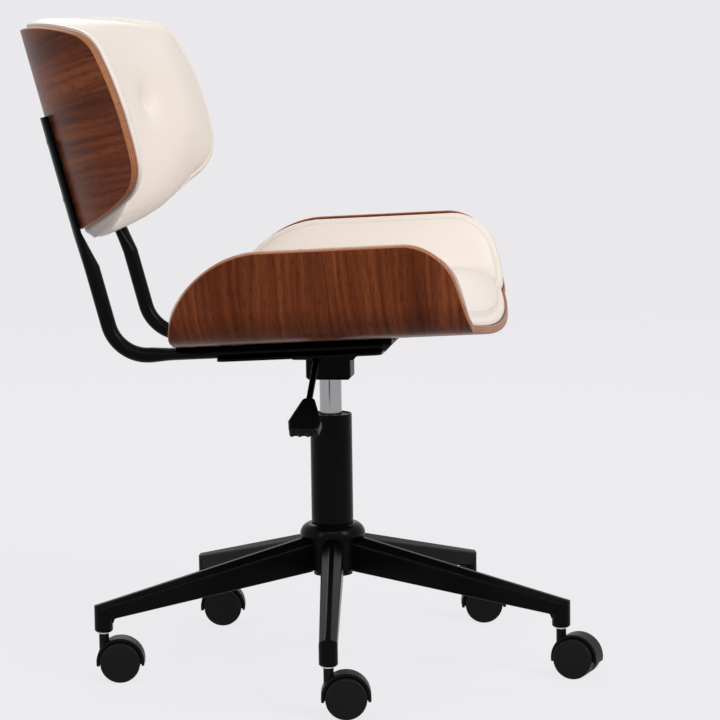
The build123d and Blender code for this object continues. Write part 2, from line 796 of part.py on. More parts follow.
# Pin of the lever
with BuildPart() as lever_pin:
    with BuildSketch(Plane.YZ.offset(lever_x)):
        with Locations((pivot_y, pivot_z)):
            Circle(pivot_radius)
    extrude(amount=ear_inside + ear_thickness + ear_play, both=True)
lever_pin.part.label = "lever_pin"
export_step(lever_pin.part, "parts/lever_pin.step")

# Lever: a tongue over the button, a knuckle on the pin and a bent rod out to the paddle
drop = math.radians(lever_drop)
lever_out = Vector(0, -math.cos(drop), -math.sin(drop))
lever_corner = Vector(lever_x, lever_bend_y, pivot_z)
with BuildPart() as lever_rod:
    with BuildSketch(Plane.YZ.offset(lever_x)):
        with Locations((pivot_y, pivot_z)):
            Circle(knuckle_radius)
    extrude(amount=knuckle_length / 2, both=True)
    with BuildSketch(Plane.XY.offset(button_top + rest_gap)):
        with Locations((lever_x / 2, tongue_reach)):
            Rectangle(tongue_width, tongue_length, align=(Align.CENTER, Align.MAX))
        with Locations((lever_x, pivot_y)):
            Rectangle(knuckle_length, ear_width, align=(Align.CENTER, Align.MIN))
    extrude(amount=tongue_thickness)
    with BuildLine():
        FilletPolyline(
            (lever_x, pivot_y, pivot_z),
            lever_corner,
            lever_corner + lever_out * (paddle_start + lever_socket),
            radius=lever_bend_radius,
        )
    with BuildSketch(Plane(origin=(lever_x, pivot_y, pivot_z), x_dir=(1, 0, 0), z_dir=(0, -1, 0))):
        Circle(lever_rod_radius)
    sweep()
    with BuildSketch(Plane.YZ.offset(lever_x)):
        with Locations((pivot_y, pivot_z)):
            Circle(pivot_radius + running_gap)
    extrude(amount=knuckle_length, both=True, mode=Mode.SUBTRACT)
lever_rod.part.label = "lever_rod"
export_step(lever_rod.part, "parts/lever_rod.step")

# Moulded paddle on the end of the lever, with three finger hollows in its end
paddle_origin = lever_corner + lever_out * paddle_start
paddle_up = Vector(0, -math.sin(drop), math.cos(drop))
paddle_plane = Plane(origin=paddle_origin, x_dir=(1, 0, 0), z_dir=paddle_up)
with BuildPart() as lever_paddle:
    with BuildSketch(paddle_plane) as paddle_outline:
        with BuildLine():
            Polyline(
                (-paddle_root_width / 2, 0),
                (paddle_root_width / 2, 0),
                (paddle_wide_width / 2, -paddle_shoulder),
                (paddle_tip_width / 2, -paddle_length),
                (-paddle_tip_width / 2, -paddle_length),
                (-paddle_wide_width / 2, -paddle_shoulder),
                close=True,
            )
        make_face()
        fillet(paddle_outline.vertices(), paddle_corner)
    extrude(amount=paddle_thickness / 2, both=True)
    top_edges = lever_paddle.faces().filter_by(paddle_plane).sort_by(Axis.Z)[-1].outer_wire().edges()
    chamfer(top_edges, paddle_edge)
    with BuildSketch(paddle_plane.offset(-paddle_thickness)):
        with Locations((0, -paddle_length - paddle_grip_radius + paddle_grip_depth)):
            with GridLocations(2 * paddle_grip_radius - paddle_grip_depth, 1, 3, 1):
                Circle(paddle_grip_radius)
    extrude(amount=2 * paddle_thickness, mode=Mode.SUBTRACT)
    with BuildSketch(Plane(origin=paddle_origin, x_dir=(1, 0, 0), z_dir=lever_out)):
        Circle(lever_rod_radius + fixed_gap)
    extrude(amount=lever_socket + rest_gap, mode=Mode.SUBTRACT)
lever_paddle.part.label = "lever_paddle"
export_step(lever_paddle.part, "parts/lever_paddle.step")

# Bent tubes that carry the back, one each side
with BuildPart() as tube_blank:
    tube_body(0, Mode.ADD)
    tube_body(tube_wall, Mode.SUBTRACT)

for side, name in ((1, "back_tube_left"), (-1, "back_tube_right")):
    with BuildPart() as back_tube:
        with Locations((0, tube_y, 0)):
            add(tube_blank.part)
        if side < 0:
            mirror(about=Plane.XZ, mode=Mode.REPLACE)
        for plane in seat_bolt_planes():
            with BuildSketch(plane):
                Circle(bolt_radius + bolt_hole_play)
            extrude(amount=2 * tube_radius + plate_thickness, mode=Mode.SUBTRACT)
        for plane in back_bolt_planes():
            with BuildSketch(plane):
                Circle(bolt_radius + bolt_hole_play)
            extrude(amount=2 * tube_radius, mode=Mode.SUBTRACT)
            sunk_head(plane.offset(back_head_face), -1, bolt_hole_play, Mode.SUBTRACT)
    back_tube.part.label = name
    export_step(back_tube.part, f"parts/{name}.step")

# Plastic plugs in the front ends of the tubes, bevelled on their lower front edge
with BuildPart() as tube_plugs:
    plug_plane = Plane(origin=run_start + seat_along * tube_front, x_dir=(0, 1, 0), z_dir=seat_along)
    with BuildSketch(plug_plane):
        with Locations((tube_y, 0), (-tube_y, 0)):
            Ellipse(tube_flat_half_width, tube_flat_half_height)
    extrude(amount=plug_length)
    with BuildSketch(seat_side):
        with BuildLine():
            bevel_front = tube_front + plug_length
            bevel_low = tube_run_height - tube_flat_half_height
            Polyline(
                (bevel_front - plug_bevel, bevel_low),
                (bevel_front, bevel_low),
                (bevel_front, bevel_low + plug_bevel),
                close=True,
            )
        make_face()
    extrude(amount=2 * tube_y, both=True, mode=Mode.SUBTRACT)
    with BuildSketch(plug_plane):
        with Locations((tube_y, 0), (-tube_y, 0)):
            Ellipse(
                tube_flat_half_width - tube_wall - plug_play,
                tube_flat_half_height - tube_wall - plug_play,
            )
    extrude(amount=-plug_spigot)
tube_plugs.part.label = "tube_plugs"
export_step(tube_plugs.part, "parts/tube_plugs.step")

# Seat shell: the bent section, bowed at the front and rear, its wings rounded off
with BuildPart() as seat_shell:
    shell_start = seat_section.offset(rear_side - seat_rear_bow)
    shell_length = front_side + seat_front_bow - rear_side + seat_rear_bow
    with BuildSketch(shell_start):
        seat_trough(0)
    extrude(amount=shell_length)
    with BuildSketch(shell_start):
        seat_trough(seat_ply)
    extrude(amount=shell_length, mode=Mode.SUBTRACT)
    with BuildSketch(seat_plan.offset(-wing_top)):
        far = 2 * wing_top_half
        with BuildLine():
            ThreePointArc(
                (front_side, -floor_half), (front_side + seat_front_bow, 0), (front_side, floor_half)
            )
            Polyline((front_side, floor_half), (front_side, far), (rear_side, far), (rear_side, floor_half))
            ThreePointArc((rear_side, floor_half), (rear_side - seat_rear_bow, 0), (rear_side, -floor_half))
            Polyline(
                (rear_side, -floor_half), (rear_side, -far), (front_side, -far), (front_side, -floor_half)
            )
        make_face()
    extrude(amount=3 * wing_top, mode=Mode.INTERSECT)
    for side in (1, -1):
        rear_mid = (floor_lip + wing_top) / 2
        front_mid = (front_turn_height + wing_top) / 2
        with BuildSketch(seat_side.offset(side * floor_half)):
            Rectangle(3 * shell_length, 4 * wing_top)
            with BuildLine():
                Line((rear_side, -wing_top), (rear_side, floor_lip))
                ThreePointArc(
                    (rear_side, floor_lip), (rear_edge(rear_mid), rear_mid), (wing_rear_centre, wing_top)
                )
                Line((wing_rear_centre, wing_top), (wing_front_centre, wing_top))
                ThreePointArc(
                    (wing_front_centre, wing_top),
                    (front_edge(front_mid), front_mid),
                    (front_turn_x, front_turn_height),
                )
                Line((front_turn_x, front_turn_height), (front_side, floor_lip))
                Line((front_side, floor_lip), (front_side, -wing_top))
                Line((front_side, -wing_top), (rear_side, -wing_top))
            make_face(mode=Mode.SUBTRACT)
        extrude(amount=side * wing_top_half, mode=Mode.SUBTRACT)
    for plane in seat_bolt_planes():
        with BuildSketch(plane):
            Circle(bolt_radius + bolt_hole_play)
        extrude(amount=seat_nut_face, mode=Mode.SUBTRACT)
        with BuildSketch(plane.offset(seat_nut_face - nut_barrel_length)):
            Circle(nut_barrel_radius + fixed_gap)
        extrude(amount=nut_barrel_length, mode=Mode.SUBTRACT)
        with BuildSketch(plane.offset(seat_nut_face)):
            Circle(nut_flange_radius + fixed_gap)
        extrude(amount=seat_ply, mode=Mode.SUBTRACT)
seat_shell.part.label = "seat_shell"
export_step(seat_shell.part, "parts/seat_shell.step")


def seat_pad_slice(side, foot, inward, lift):
    """Draw one slice of the seat pad on a point of the shell's upper face."""
    origin = seat_origin + Vector(0, side * foot.X, 0) + seat_up * foot.Y
    normal = Vector(0, side * inward.X, 0) + seat_up * inward.Y
    plane = Plane(origin=origin, x_dir=seat_along, z_dir=seat_along.cross(normal))
    rear = max(rear_edge(foot.Y), rear_side) - bow(seat_rear_bow, foot.X) + seat_pad_margin
    front = min(front_edge(foot.Y), front_side) + bow(seat_front_bow, foot.X) - seat_pad_margin
    return pad_section(plane, rear, front, lift, seat_pad_rear_roll, seat_pad_front_roll, seat_pad_lip)


# Seat pad: slices that step across the floor, round the bends and up the wings
pad_inset = seat_ply + rest_gap
seat_slices = []
for share in (0.0, 0.3, 0.6, 0.85, 1.0):
    angle = math.radians(floor_end_angle * share)
    inward = Vector(-math.sin(angle), math.cos(angle))
    lift = seat_pad_floor + (seat_pad_edge - seat_pad_floor) * share**3
    seat_slices.append((floor_centre - inward * (seat_floor_radius - pad_inset), inward, lift))
for share in (0.25, 0.5, 0.75, 1.0):
    angle = math.radians(floor_end_angle + (90 - wing_lean - floor_end_angle) * share)
    inward = Vector(-math.sin(angle), math.cos(angle))
    lift = seat_pad_edge + (seat_pad_bend - seat_pad_edge) * share
    seat_slices.append((bend_centre - inward * (seat_bend_radius - pad_inset), inward, lift))
wing_foot = bend_centre - wing_inward * (seat_bend_radius - pad_inset)
wing_rise = (wing_top - seat_pad_margin - wing_foot.Y) / wing_run.Y
for share in (0.35, 0.65, 0.88, 1.0):
    lift = seat_pad_bend + (seat_pad_tip - seat_pad_bend) * share**2
    seat_slices.append((wing_foot + wing_run * (wing_rise * share), wing_inward, lift))
with BuildPart() as seat_cushion:
    right_slices = [seat_pad_slice(-1, *values) for values in reversed(seat_slices[1:])]
    left_slices = [seat_pad_slice(1, *values) for values in seat_slices]
    loft(right_slices + left_slices, ruled=True)
seat_cushion.part.label = "seat_cushion"
export_step(seat_cushion.part, "parts/seat_cushion.step")

# Back shell: the wrap, trimmed by its outline from the side
with BuildPart() as back_shell:
    with BuildSketch(back_plan.offset(-back_height)):
        back_wrap(0)
    extrude(amount=3 * back_height)
    with BuildSketch(back_plan.offset(-back_height)):
        back_wrap(back_ply)
    extrude(amount=3 * back_height, mode=Mode.SUBTRACT)
    with BuildSketch(back_side) as back_outline:
        with BuildLine():
            ThreePointArc((0, 0), (back_low_reach / 2, back_low_rise / 4), (back_low_reach, back_low_rise))
            ThreePointArc(
                (back_low_reach, back_low_rise),
                (back_front_reach, back_front_middle),
                (back_high_reach, back_height - back_high_drop),
            )
            ThreePointArc(
                (back_high_reach, back_height - back_high_drop),
                (back_high_reach / 2, back_height - back_high_drop / 4),
                (0, back_height),
            )
            Line((0, back_height), (0, 0))
        make_face()
        fillet(back_outline.vertices().sort_by(Axis.X)[-1], back_lower_corner)
        fillet(back_outline.vertices().sort_by(Axis.Y)[-2], back_upper_corner)
    extrude(amount=2 * back_radius, both=True, mode=Mode.INTERSECT)
    for plane in back_bolt_planes():
        with BuildSketch(plane.offset(-back_ply)):
            Circle(bolt_radius + bolt_hole_play)
        extrude(amount=2 * back_ply, mode=Mode.SUBTRACT)
        with BuildSketch(plane.offset(back_nut_face)):
            Circle(nut_barrel_radius + fixed_gap)
        extrude(amount=nut_barrel_length, mode=Mode.SUBTRACT)
        with BuildSketch(plane.offset(back_nut_face)):
            Circle(nut_flange_radius + fixed_gap)
        extrude(amount=-back_ply, mode=Mode.SUBTRACT)
back_shell.part.label = "back_shell"
export_step(back_shell.part, "parts/back_shell.step")


def back_foot(degrees, run):
    """Sideways and forward place on the back shell's inner face, past the wrap by a run."""
    angle = math.radians(degrees)
    radius = back_radius - back_ply - rest_gap
    return Vector(
        radius * math.sin(angle) + run * math.cos(angle),
        back_radius - radius * math.cos(angle) + run * math.sin(angle),
    )


def corner_trim(reach, radius):
    """How far a rounded wing corner cuts in from the edge at a distance forward."""
    past = max(0.0, reach - back_front_reach + radius)
    return radius - math.sqrt(max(0.0, radius**2 - past**2))


def back_pad_plane(side, degrees, run, height):
    """Plane that stands on the shell's inner face, its sketch running up the back."""
    foot = back_foot(degrees, run)
    angle = math.radians(degrees)
    origin = back_origin + Vector(0, side * foot.X, 0) + back_forward * foot.Y + back_up * height
    inward = Vector(0, -side * math.sin(angle), 0) + back_forward * math.cos(angle)
    return Plane(origin=origin, x_dir=back_up, z_dir=back_up.cross(inward))


def back_pad_slice(side, degrees, run, lift):
    """Draw one slice of the back pad, standing past the shell's edges near the middle."""
    reach = back_foot(degrees, run).Y
    share = 1 - (degrees / back_half_angle) ** 2
    hang = (back_pad_hang + back_pad_margin) * share - back_pad_margin
    rise = (back_pad_rise + back_pad_margin) * share - back_pad_margin
    low = back_low(reach) + corner_trim(reach, back_lower_corner) - hang
    high = back_high(reach) - corner_trim(reach, back_upper_corner) + rise
    plane = back_pad_plane(side, degrees, run, 0)
    return pad_section(plane, low, high, lift, back_pad_roll, back_pad_roll, back_pad_lip)


def back_pad_lift(degrees):
    """Thickness of the back pad round the wrap."""
    return back_pad_thickness + (back_pad_side - back_pad_thickness) * (degrees / back_half_angle) ** 3


# Back pad: slices that step round the wrap and along the wings, with two sewn tufts
wing_length = (back_front_reach - back_foot(back_half_angle, 0).Y) / math.sin(math.radians(back_half_angle))
back_slices = []
for share in (0.0, 0.25, 0.5, 0.7, 0.85, 1.0):
    degrees = back_half_angle * share
    back_slices.append((degrees, 0.0, back_pad_lift(degrees)))
for share in (0.35, 0.65, 0.85):
    lift = back_pad_side + (back_pad_tip - back_pad_side) * share
    back_slices.append((back_half_angle, wing_length * share, lift))
with BuildPart() as back_cushion:
    right_slices = [back_pad_slice(-1, *values) for values in reversed(back_slices[1:])]
    left_slices = [back_pad_slice(1, *values) for values in back_slices]
    loft(right_slices + left_slices, ruled=True)
    tuft_angle = math.degrees(math.asin(tuft_y / (back_radius - back_ply - rest_gap)))
    tuft_ball = (tuft_radius**2 + tuft_depth**2) / (2 * tuft_depth)
    for side in (1, -1):
        tuft_plane = back_pad_plane(side, tuft_angle, 0, tuft_height)
        tuft_rise = back_pad_lift(tuft_angle) - tuft_depth + tuft_ball
        tuft_centre = tuft_plane.origin + tuft_plane.y_dir * tuft_rise
        with Locations(tuft_centre):
            Sphere(tuft_ball, mode=Mode.SUBTRACT)
back_cushion.part.label = "back_cushion"
export_step(back_cushion.part, "parts/back_cushion.step")

# Bolts and tee nuts of the seat and the back, each set on its own planes
bolt_sets = {
    "seat": (seat_bolt_planes(), 0.0, 1, seat_nut_face),
    "back": (back_bolt_planes(), back_head_face, -1, back_nut_face),
}
for name, (planes, head_face, direction, nut_face) in bolt_sets.items():
    with BuildPart() as bolts:
        for plane in planes:
            sunk_head(plane.offset(head_face), direction, 0, Mode.ADD)
            with BuildSketch(plane.offset(head_face)):
                Circle(bolt_radius)
            extrude(amount=nut_face + direction * nut_flange_thickness / 2 - head_face)
            with BuildSketch(plane.offset(head_face)):
                RegularPolygon(bolt_hex, 6)
            extrude(amount=direction * bolt_hex_depth, mode=Mode.SUBTRACT)
    bolts.part.label = f"{name}_bolts"
    export_step(bolts.part, f"parts/{name}_bolts.step")
    with BuildPart() as tee_nuts:
        for plane in planes:
            with BuildSketch(plane.offset(nut_face)):
                Circle(nut_flange_radius)
            extrude(amount=direction * nut_flange_thickness)
            with BuildSketch(plane.offset(nut_face)):
                Circle(nut_barrel_radius)
            extrude(amount=-direction * nut_barrel_length)
            with BuildSketch(plane.offset(nut_face - direction * nut_barrel_length)):
                Circle(bolt_radius + fixed_gap)
            extrude(amount=direction * (nut_barrel_length + nut_flange_thickness), mode=Mode.SUBTRACT)
    tee_nuts.part.label = f"{name}_tee_nuts"
    export_step(tee_nuts.part, f"parts/{name}_tee_nuts.step")

# Caster hood, with the stem's axis at the origin and the wheels trailing along +X
with BuildPart() as hood:
    with BuildSketch(Plane.XY.offset(wheel_radius)):
        Circle(neck_radius)
    extrude(amount=neck_top - wheel_radius)
    with BuildSketch(Plane.XZ):
        with Locations((caster_trail, wheel_radius)):
            Circle(hood_radius - hood_wall)
    extrude(amount=hood_width, both=True, mode=Mode.SUBTRACT)
    for inside, width in ((hood_radius - hood_wall, hood_width), (0, web_thickness)):
        with BuildSketch(Plane.XZ):
            with Locations((caster_trail, wheel_radius)):
                Circle(hood_radius)
            with Locations((caster_trail, wheel_radius - hood_dip)):
                Rectangle(
                    2 * hood_radius, 2 * hood_radius,
                    align=(Align.CENTER, Align.MAX), mode=Mode.SUBTRACT,
                )
            with Locations((caster_trail, wheel_radius)):
                if inside:
                    Circle(inside, mode=Mode.SUBTRACT)
                else:
                    Circle(axle_boss_radius)
                    Circle(axle_radius + fixed_gap, mode=Mode.SUBTRACT)
        extrude(amount=width / 2, both=True)
    with BuildSketch(Plane.XY.offset(neck_top - stem_root_depth)):
        Circle(stem_root_radius + fixed_gap)
    extrude(amount=stem_root_depth, mode=Mode.SUBTRACT)

# Caster stem, with the bright collar that shows between hood and leg
with BuildPart() as stem:
    collar_base = neck_top
    collar_face = neck_top + stem_collar_height
    with BuildSketch(Plane.XZ):
        with BuildLine():
            Polyline(
                (0, collar_base - stem_root_depth),
                (stem_root_radius, collar_base - stem_root_depth),
                (stem_root_radius, collar_base),
                (stem_collar_radius, collar_base),
                (stem_collar_radius, collar_face),
                (stem_radius, collar_face),
                (stem_radius, collar_face + stem_height),
                (0, collar_face + stem_height),
                close=True,
            )
        make_face()
    revolve(axis=Axis.Z)

# Caster axle, held in the hood's web
with BuildPart() as axle:
    with BuildSketch(Plane.XZ):
        with Locations((caster_trail, wheel_radius)):
            Circle(axle_radius)
    extrude(amount=wheel_inner_y + wheel_width - wheel_cover - rest_gap, both=True)

# Caster wheel on +Y, with a blind bore, a rounded rim and a coned outer face
with BuildPart() as wheel:
    with BuildSketch(Plane.XY) as wheel_half:
        rim_face = wheel_width - wheel_dish
        with BuildLine():
            Polyline(
                (0, wheel_width - wheel_cover),
                (axle_radius + running_gap, wheel_width - wheel_cover),
                (axle_radius + running_gap, 0),
                (wheel_radius, 0),
                (wheel_radius, rim_face),
                (wheel_cap_radius, wheel_width),
                (0, wheel_width),
                close=True,
            )
        make_face()
        rim_corner = wheel_half.vertices().group_by(Axis.X)[-1].sort_by(Axis.Y)[-1]
        fillet(rim_corner, wheel_edge)
    revolve(axis=Axis.Y)

for number, angle in enumerate(leg_angles, start=1):
    stem_x = stem_circle * math.cos(math.radians(angle))
    stem_y = stem_circle * math.sin(math.radians(angle))
    place = Location((stem_x, stem_y, 0), (0, 0, trail_angles[number - 1]))
    left_wheel = place * Location((caster_trail, wheel_inner_y, wheel_radius))
    right_wheel = place * Location((caster_trail, -wheel_inner_y, wheel_radius), (0, 0, 180))
    caster_pieces = {
        "hood": (hood.part, place),
        "stem": (stem.part, place),
        "axle": (axle.part, place),
        "wheel_left": (wheel.part, left_wheel),
        "wheel_right": (wheel.part, right_wheel),
    }
    for name, (piece, spot) in caster_pieces.items():
        with BuildPart() as caster_piece:
            with Locations(spot):
                add(piece)
        caster_piece.part.label = f"caster_{number}_{name}"
        export_step(caster_piece.part, f"parts/caster_{number}_{name}.step")
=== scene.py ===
import math

import bpy
import numpy as np
from mathutils import Matrix, Vector
from mathutils.bvhtree import BVHTree


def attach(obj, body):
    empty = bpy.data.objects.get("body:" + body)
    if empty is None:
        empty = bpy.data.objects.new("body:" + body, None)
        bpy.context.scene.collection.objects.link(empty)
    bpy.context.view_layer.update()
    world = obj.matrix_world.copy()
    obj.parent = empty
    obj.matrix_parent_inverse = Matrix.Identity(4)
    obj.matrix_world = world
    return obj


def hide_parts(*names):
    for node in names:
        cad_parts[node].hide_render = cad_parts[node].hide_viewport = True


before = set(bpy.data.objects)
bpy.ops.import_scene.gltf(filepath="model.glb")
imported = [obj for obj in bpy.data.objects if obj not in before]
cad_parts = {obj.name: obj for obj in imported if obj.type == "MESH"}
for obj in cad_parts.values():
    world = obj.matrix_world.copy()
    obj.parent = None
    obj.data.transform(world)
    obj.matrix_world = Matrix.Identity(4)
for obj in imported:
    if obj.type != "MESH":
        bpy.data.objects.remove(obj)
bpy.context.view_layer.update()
scene = bpy.context.scene
scene.view_settings.view_transform = "Standard"

# Studio: a pale floor under an even pale sky, lit by wide soft boxes. The chair stands with its
# right side to the camera, which is a little above the seat and looks slightly down.
pale = (0.845, 0.832, 0.855, 1.0)
sky_light = 0.48
floor_glow_colour = (1.000, 0.984, 1.012, 1.0)
floor_paint_colour = (0.32, 0.315, 0.325, 1.0)
floor_half = 400.0
floor_shadow = 0.22
chair_middle = Vector((-0.1, 0.0, 0.45))
camera_place = Vector((0.5799, -3.9136, 0.8898))
camera_lens = 157.25
camera_roll = math.radians(-0.807)
view_line = Vector((-0.1360, 0.9827, -0.1256)).normalized()


def blank_material(name):
    """A new material with its node tree and its Principled shader."""
    material = bpy.data.materials.new(name)
    material.use_nodes = True
    tree = material.node_tree
    return material, tree.nodes, tree.links, tree.nodes["Principled BSDF"]


def seen_directly(nodes, links):
    """One for rays that show the background: straight, mirrored or through glass."""
    path = nodes.new("ShaderNodeLightPath")
    mirrored = nodes.new("ShaderNodeMath")
    mirrored.operation = "MAXIMUM"
    links.new(path.outputs["Is Camera Ray"], mirrored.inputs[0])
    links.new(path.outputs["Is Glossy Ray"], mirrored.inputs[1])
    seen = nodes.new("ShaderNodeMath")
    seen.operation = "MAXIMUM"
    links.new(mirrored.outputs[0], seen.inputs[0])
    links.new(path.outputs["Is Transmission Ray"], seen.inputs[1])
    return seen.outputs[0]


world = bpy.data.worlds.new("studio_sky")
world.use_nodes = True
scene.world = world
sky_nodes, sky_links = world.node_tree.nodes, world.node_tree.links
sky_lit = sky_nodes["Background"]
sky_lit.inputs["Color"].default_value = (1.0, 1.0, 1.0, 1.0)
sky_lit.inputs["Strength"].default_value = sky_light
sky_seen = sky_nodes.new("ShaderNodeBackground")
sky_seen.inputs["Color"].default_value = pale
sky_pick = sky_nodes.new("ShaderNodeMixShader")
sky_links.new(seen_directly(sky_nodes, sky_links), sky_pick.inputs[0])
sky_links.new(sky_lit.outputs[0], sky_pick.inputs[1])
sky_links.new(sky_seen.outputs[0], sky_pick.inputs[2])
sky_links.new(sky_pick.outputs[0], sky_nodes["World Output"].inputs["Surface"])

floor_mesh = bpy.data.meshes.new("studio_floor")
floor_mesh.from_pydata(
    [(x * floor_half, y * floor_half, 0.0) for x, y in ((-1, -1), (1, -1), (1, 1), (-1, 1))],
    [],
    [(0, 1, 2, 3)],
)
floor = bpy.data.objects.new("studio_floor", floor_mesh)
scene.collection.objects.link(floor)
floor_paint, floor_nodes, floor_links, floor_shader = blank_material("studio_floor")
floor_shader.inputs["Base Color"].default_value = floor_paint_colour
floor_shader.inputs["Roughness"].default_value = 0.9
floor_shader.inputs["Specular IOR Level"].default_value = 0.1
floor_glow = floor_nodes.new("ShaderNodeEmission")
floor_glow.inputs["Color"].default_value = floor_glow_colour
floor_share = floor_nodes.new("ShaderNodeMath")
floor_share.operation = "MULTIPLY"
floor_share.inputs[1].default_value = 1 - floor_shadow
floor_links.new(seen_directly(floor_nodes, floor_links), floor_share.inputs[0])
floor_pick = floor_nodes.new("ShaderNodeMixShader")
floor_links.new(floor_share.outputs[0], floor_pick.inputs[0])
floor_links.new(floor_shader.outputs[0], floor_pick.inputs[1])
floor_links.new(floor_glow.outputs[0], floor_pick.inputs[2])
floor_links.new(floor_pick.outputs[0], floor_nodes["Material Output"].inputs["Surface"])
floor_mesh.materials.append(floor_paint)


def soft_box(name, place, width, height, watts):
    """A rectangular lamp that faces the middle of the chair."""
    lamp = bpy.data.lights.new(name, "AREA")
    lamp.shape = "RECTANGLE"
    lamp.size = width
    lamp.size_y = height
    lamp.energy = watts
    holder = bpy.data.objects.new(name, lamp)
    scene.collection.objects.link(holder)
    aim = chair_middle - Vector(place)
    holder.matrix_world = Matrix.Translation(place) @ aim.to_track_quat("-Z", "Y").to_matrix().to_4x4()


soft_box("soft_box_key", (2.6, -1.6, 2.4), width=0.8, height=1.8, watts=60.0)
soft_box("soft_box_fill", (-1.8, -2.6, 1.6), width=0.4, height=2.0, watts=15.0)
soft_box("soft_box_strip", (0.3, -2.7, 2.9), width=2.4, height=0.28, watts=19.0)
soft_box("soft_box_rear", (-0.8, 2.6, 2.2), width=1.6, height=1.2, watts=20.0)

camera = bpy.data.objects.new("camera", bpy.data.cameras.new("camera"))
camera.data.sensor_width = 36.0
camera.data.lens = camera_lens
scene.collection.objects.link(camera)
level = view_line.cross(Vector((0.0, 0.0, 1.0))).normalized()
overhead = level.cross(view_line)
camera_right = level * math.cos(camera_roll) + overhead * math.sin(camera_roll)
camera_up = overhead * math.cos(camera_roll) - level * math.sin(camera_roll)
camera.matrix_world = Matrix.Translation(camera_place) @ Matrix(
    (camera_right, camera_up, -view_line)
).transposed().to_4x4()
scene.camera = camera

# Casters: twin nylon wheels under a moulded nylon hood, on a turned steel stem that snaps into
# the end of each leg. The nylon is mould-textured, nearly black, and dulls a little in patches.
caster_count = 5


def shader_group(name, inputs, outputs):
    """A new shader group with named sockets, and its input and output nodes."""
    group = bpy.data.node_groups.new(name, "ShaderNodeTree")
    for label, kind, value in inputs:
        socket = group.interface.new_socket(label, in_out="INPUT", socket_type=kind)
        socket.default_value = value
    for label, kind in outputs:
        group.interface.new_socket(label, in_out="OUTPUT", socket_type=kind)
    return group, group.nodes.new("NodeGroupInput"), group.nodes.new("NodeGroupOutput")


grain_group, grain_in, grain_out = shader_group(
    "moulded_grain",
    [
        ("Colour", "NodeSocketColor", (0.03, 0.03, 0.03, 1.0)),
        ("Tint", "NodeSocketColor", (0.04, 0.04, 0.04, 1.0)),
        ("Grain Scale", "NodeSocketFloat", 1500.0),
        ("Cloud Scale", "NodeSocketFloat", 30.0),
        ("Roughness", "NodeSocketFloat", 0.5),
        ("Roughness Spread", "NodeSocketFloat", 0.1),
    ],
    [("Colour", "NodeSocketColor"), ("Roughness", "NodeSocketFloat"), ("Height", "NodeSocketFloat")],
)
grain_place = grain_group.nodes.new("ShaderNodeTexCoord")
grain_fine = grain_group.nodes.new("ShaderNodeTexNoise")
grain_fine.inputs["Detail"].default_value = 2.0
grain_cloud = grain_group.nodes.new("ShaderNodeTexNoise")
grain_cloud.inputs["Detail"].default_value = 4.0
grain_mix = grain_group.nodes.new("ShaderNodeMix")
grain_mix.data_type = "RGBA"
grain_centre = grain_group.nodes.new("ShaderNodeMath")
grain_centre.operation = "SUBTRACT"
grain_centre.inputs[1].default_value = 0.5
grain_dull = grain_group.nodes.new("ShaderNodeMath")
grain_dull.operation = "MULTIPLY_ADD"
for wire in (
    (grain_place.outputs["Object"], grain_fine.inputs["Vector"]),
    (grain_place.outputs["Object"], grain_cloud.inputs["Vector"]),
    (grain_in.outputs["Grain Scale"], grain_fine.inputs["Scale"]),
    (grain_in.outputs["Cloud Scale"], grain_cloud.inputs["Scale"]),
    (grain_cloud.outputs["Fac"], grain_mix.inputs["Factor"]),
    (grain_in.outputs["Colour"], grain_mix.inputs["A"]),
    (grain_in.outputs["Tint"], grain_mix.inputs["B"]),
    (grain_cloud.outputs["Fac"], grain_centre.inputs[0]),
    (grain_centre.outputs[0], grain_dull.inputs[0]),
    (grain_in.outputs["Roughness Spread"], grain_dull.inputs[1]),
    (grain_in.outputs["Roughness"], grain_dull.inputs[2]),
    (grain_mix.outputs["Result"], grain_out.inputs["Colour"]),
    (grain_dull.outputs[0], grain_out.inputs["Roughness"]),
    (grain_fine.outputs["Fac"], grain_out.inputs["Height"]),
):
    grain_group.links.new(*wire)


def grained(name, colour, tint, grain, cloud, roughness, spread, relief, gloss):
    """A moulded or painted finish with fine grain and uneven dullness."""
    material, nodes, links, shader = blank_material(name)
    shader.inputs["Specular IOR Level"].default_value = gloss
    texture = nodes.new("ShaderNodeGroup")
    texture.node_tree = grain_group
    texture.inputs["Colour"].default_value = (*colour, 1.0)
    texture.inputs["Tint"].default_value = (*tint, 1.0)
    texture.inputs["Grain Scale"].default_value = grain
    texture.inputs["Cloud Scale"].default_value = cloud
    texture.inputs["Roughness"].default_value = roughness
    texture.inputs["Roughness Spread"].default_value = spread
    bump = nodes.new("ShaderNodeBump")
    bump.inputs["Strength"].default_value = relief
    bump.inputs["Distance"].default_value = 0.0003
    links.new(texture.outputs["Colour"], shader.inputs["Base Color"])
    links.new(texture.outputs["Roughness"], shader.inputs["Roughness"])
    links.new(texture.outputs["Height"], bump.inputs["Height"])
    links.new(bump.outputs["Normal"], shader.inputs["Normal"])
    return material


def dress(material, *names):
    """Give the solids of these names one finish."""
    for name in names:
        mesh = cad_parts[name].data
        mesh.materials.clear()
        mesh.materials.append(material)


hood_nylon = grained(
    "hood_nylon", colour=(0.0035, 0.0033, 0.0036), tint=(0.0060, 0.0058, 0.0061),
    grain=1600.0, cloud=35.0, roughness=0.42, spread=0.14, relief=0.22, gloss=0.09,
)
wheel_nylon = grained(
    "wheel_nylon", colour=(0.0055, 0.0052, 0.0056), tint=(0.0095, 0.0092, 0.0096),
    grain=1300.0, cloud=60.0, roughness=0.48, spread=0.16, relief=0.25, gloss=0.10,
)

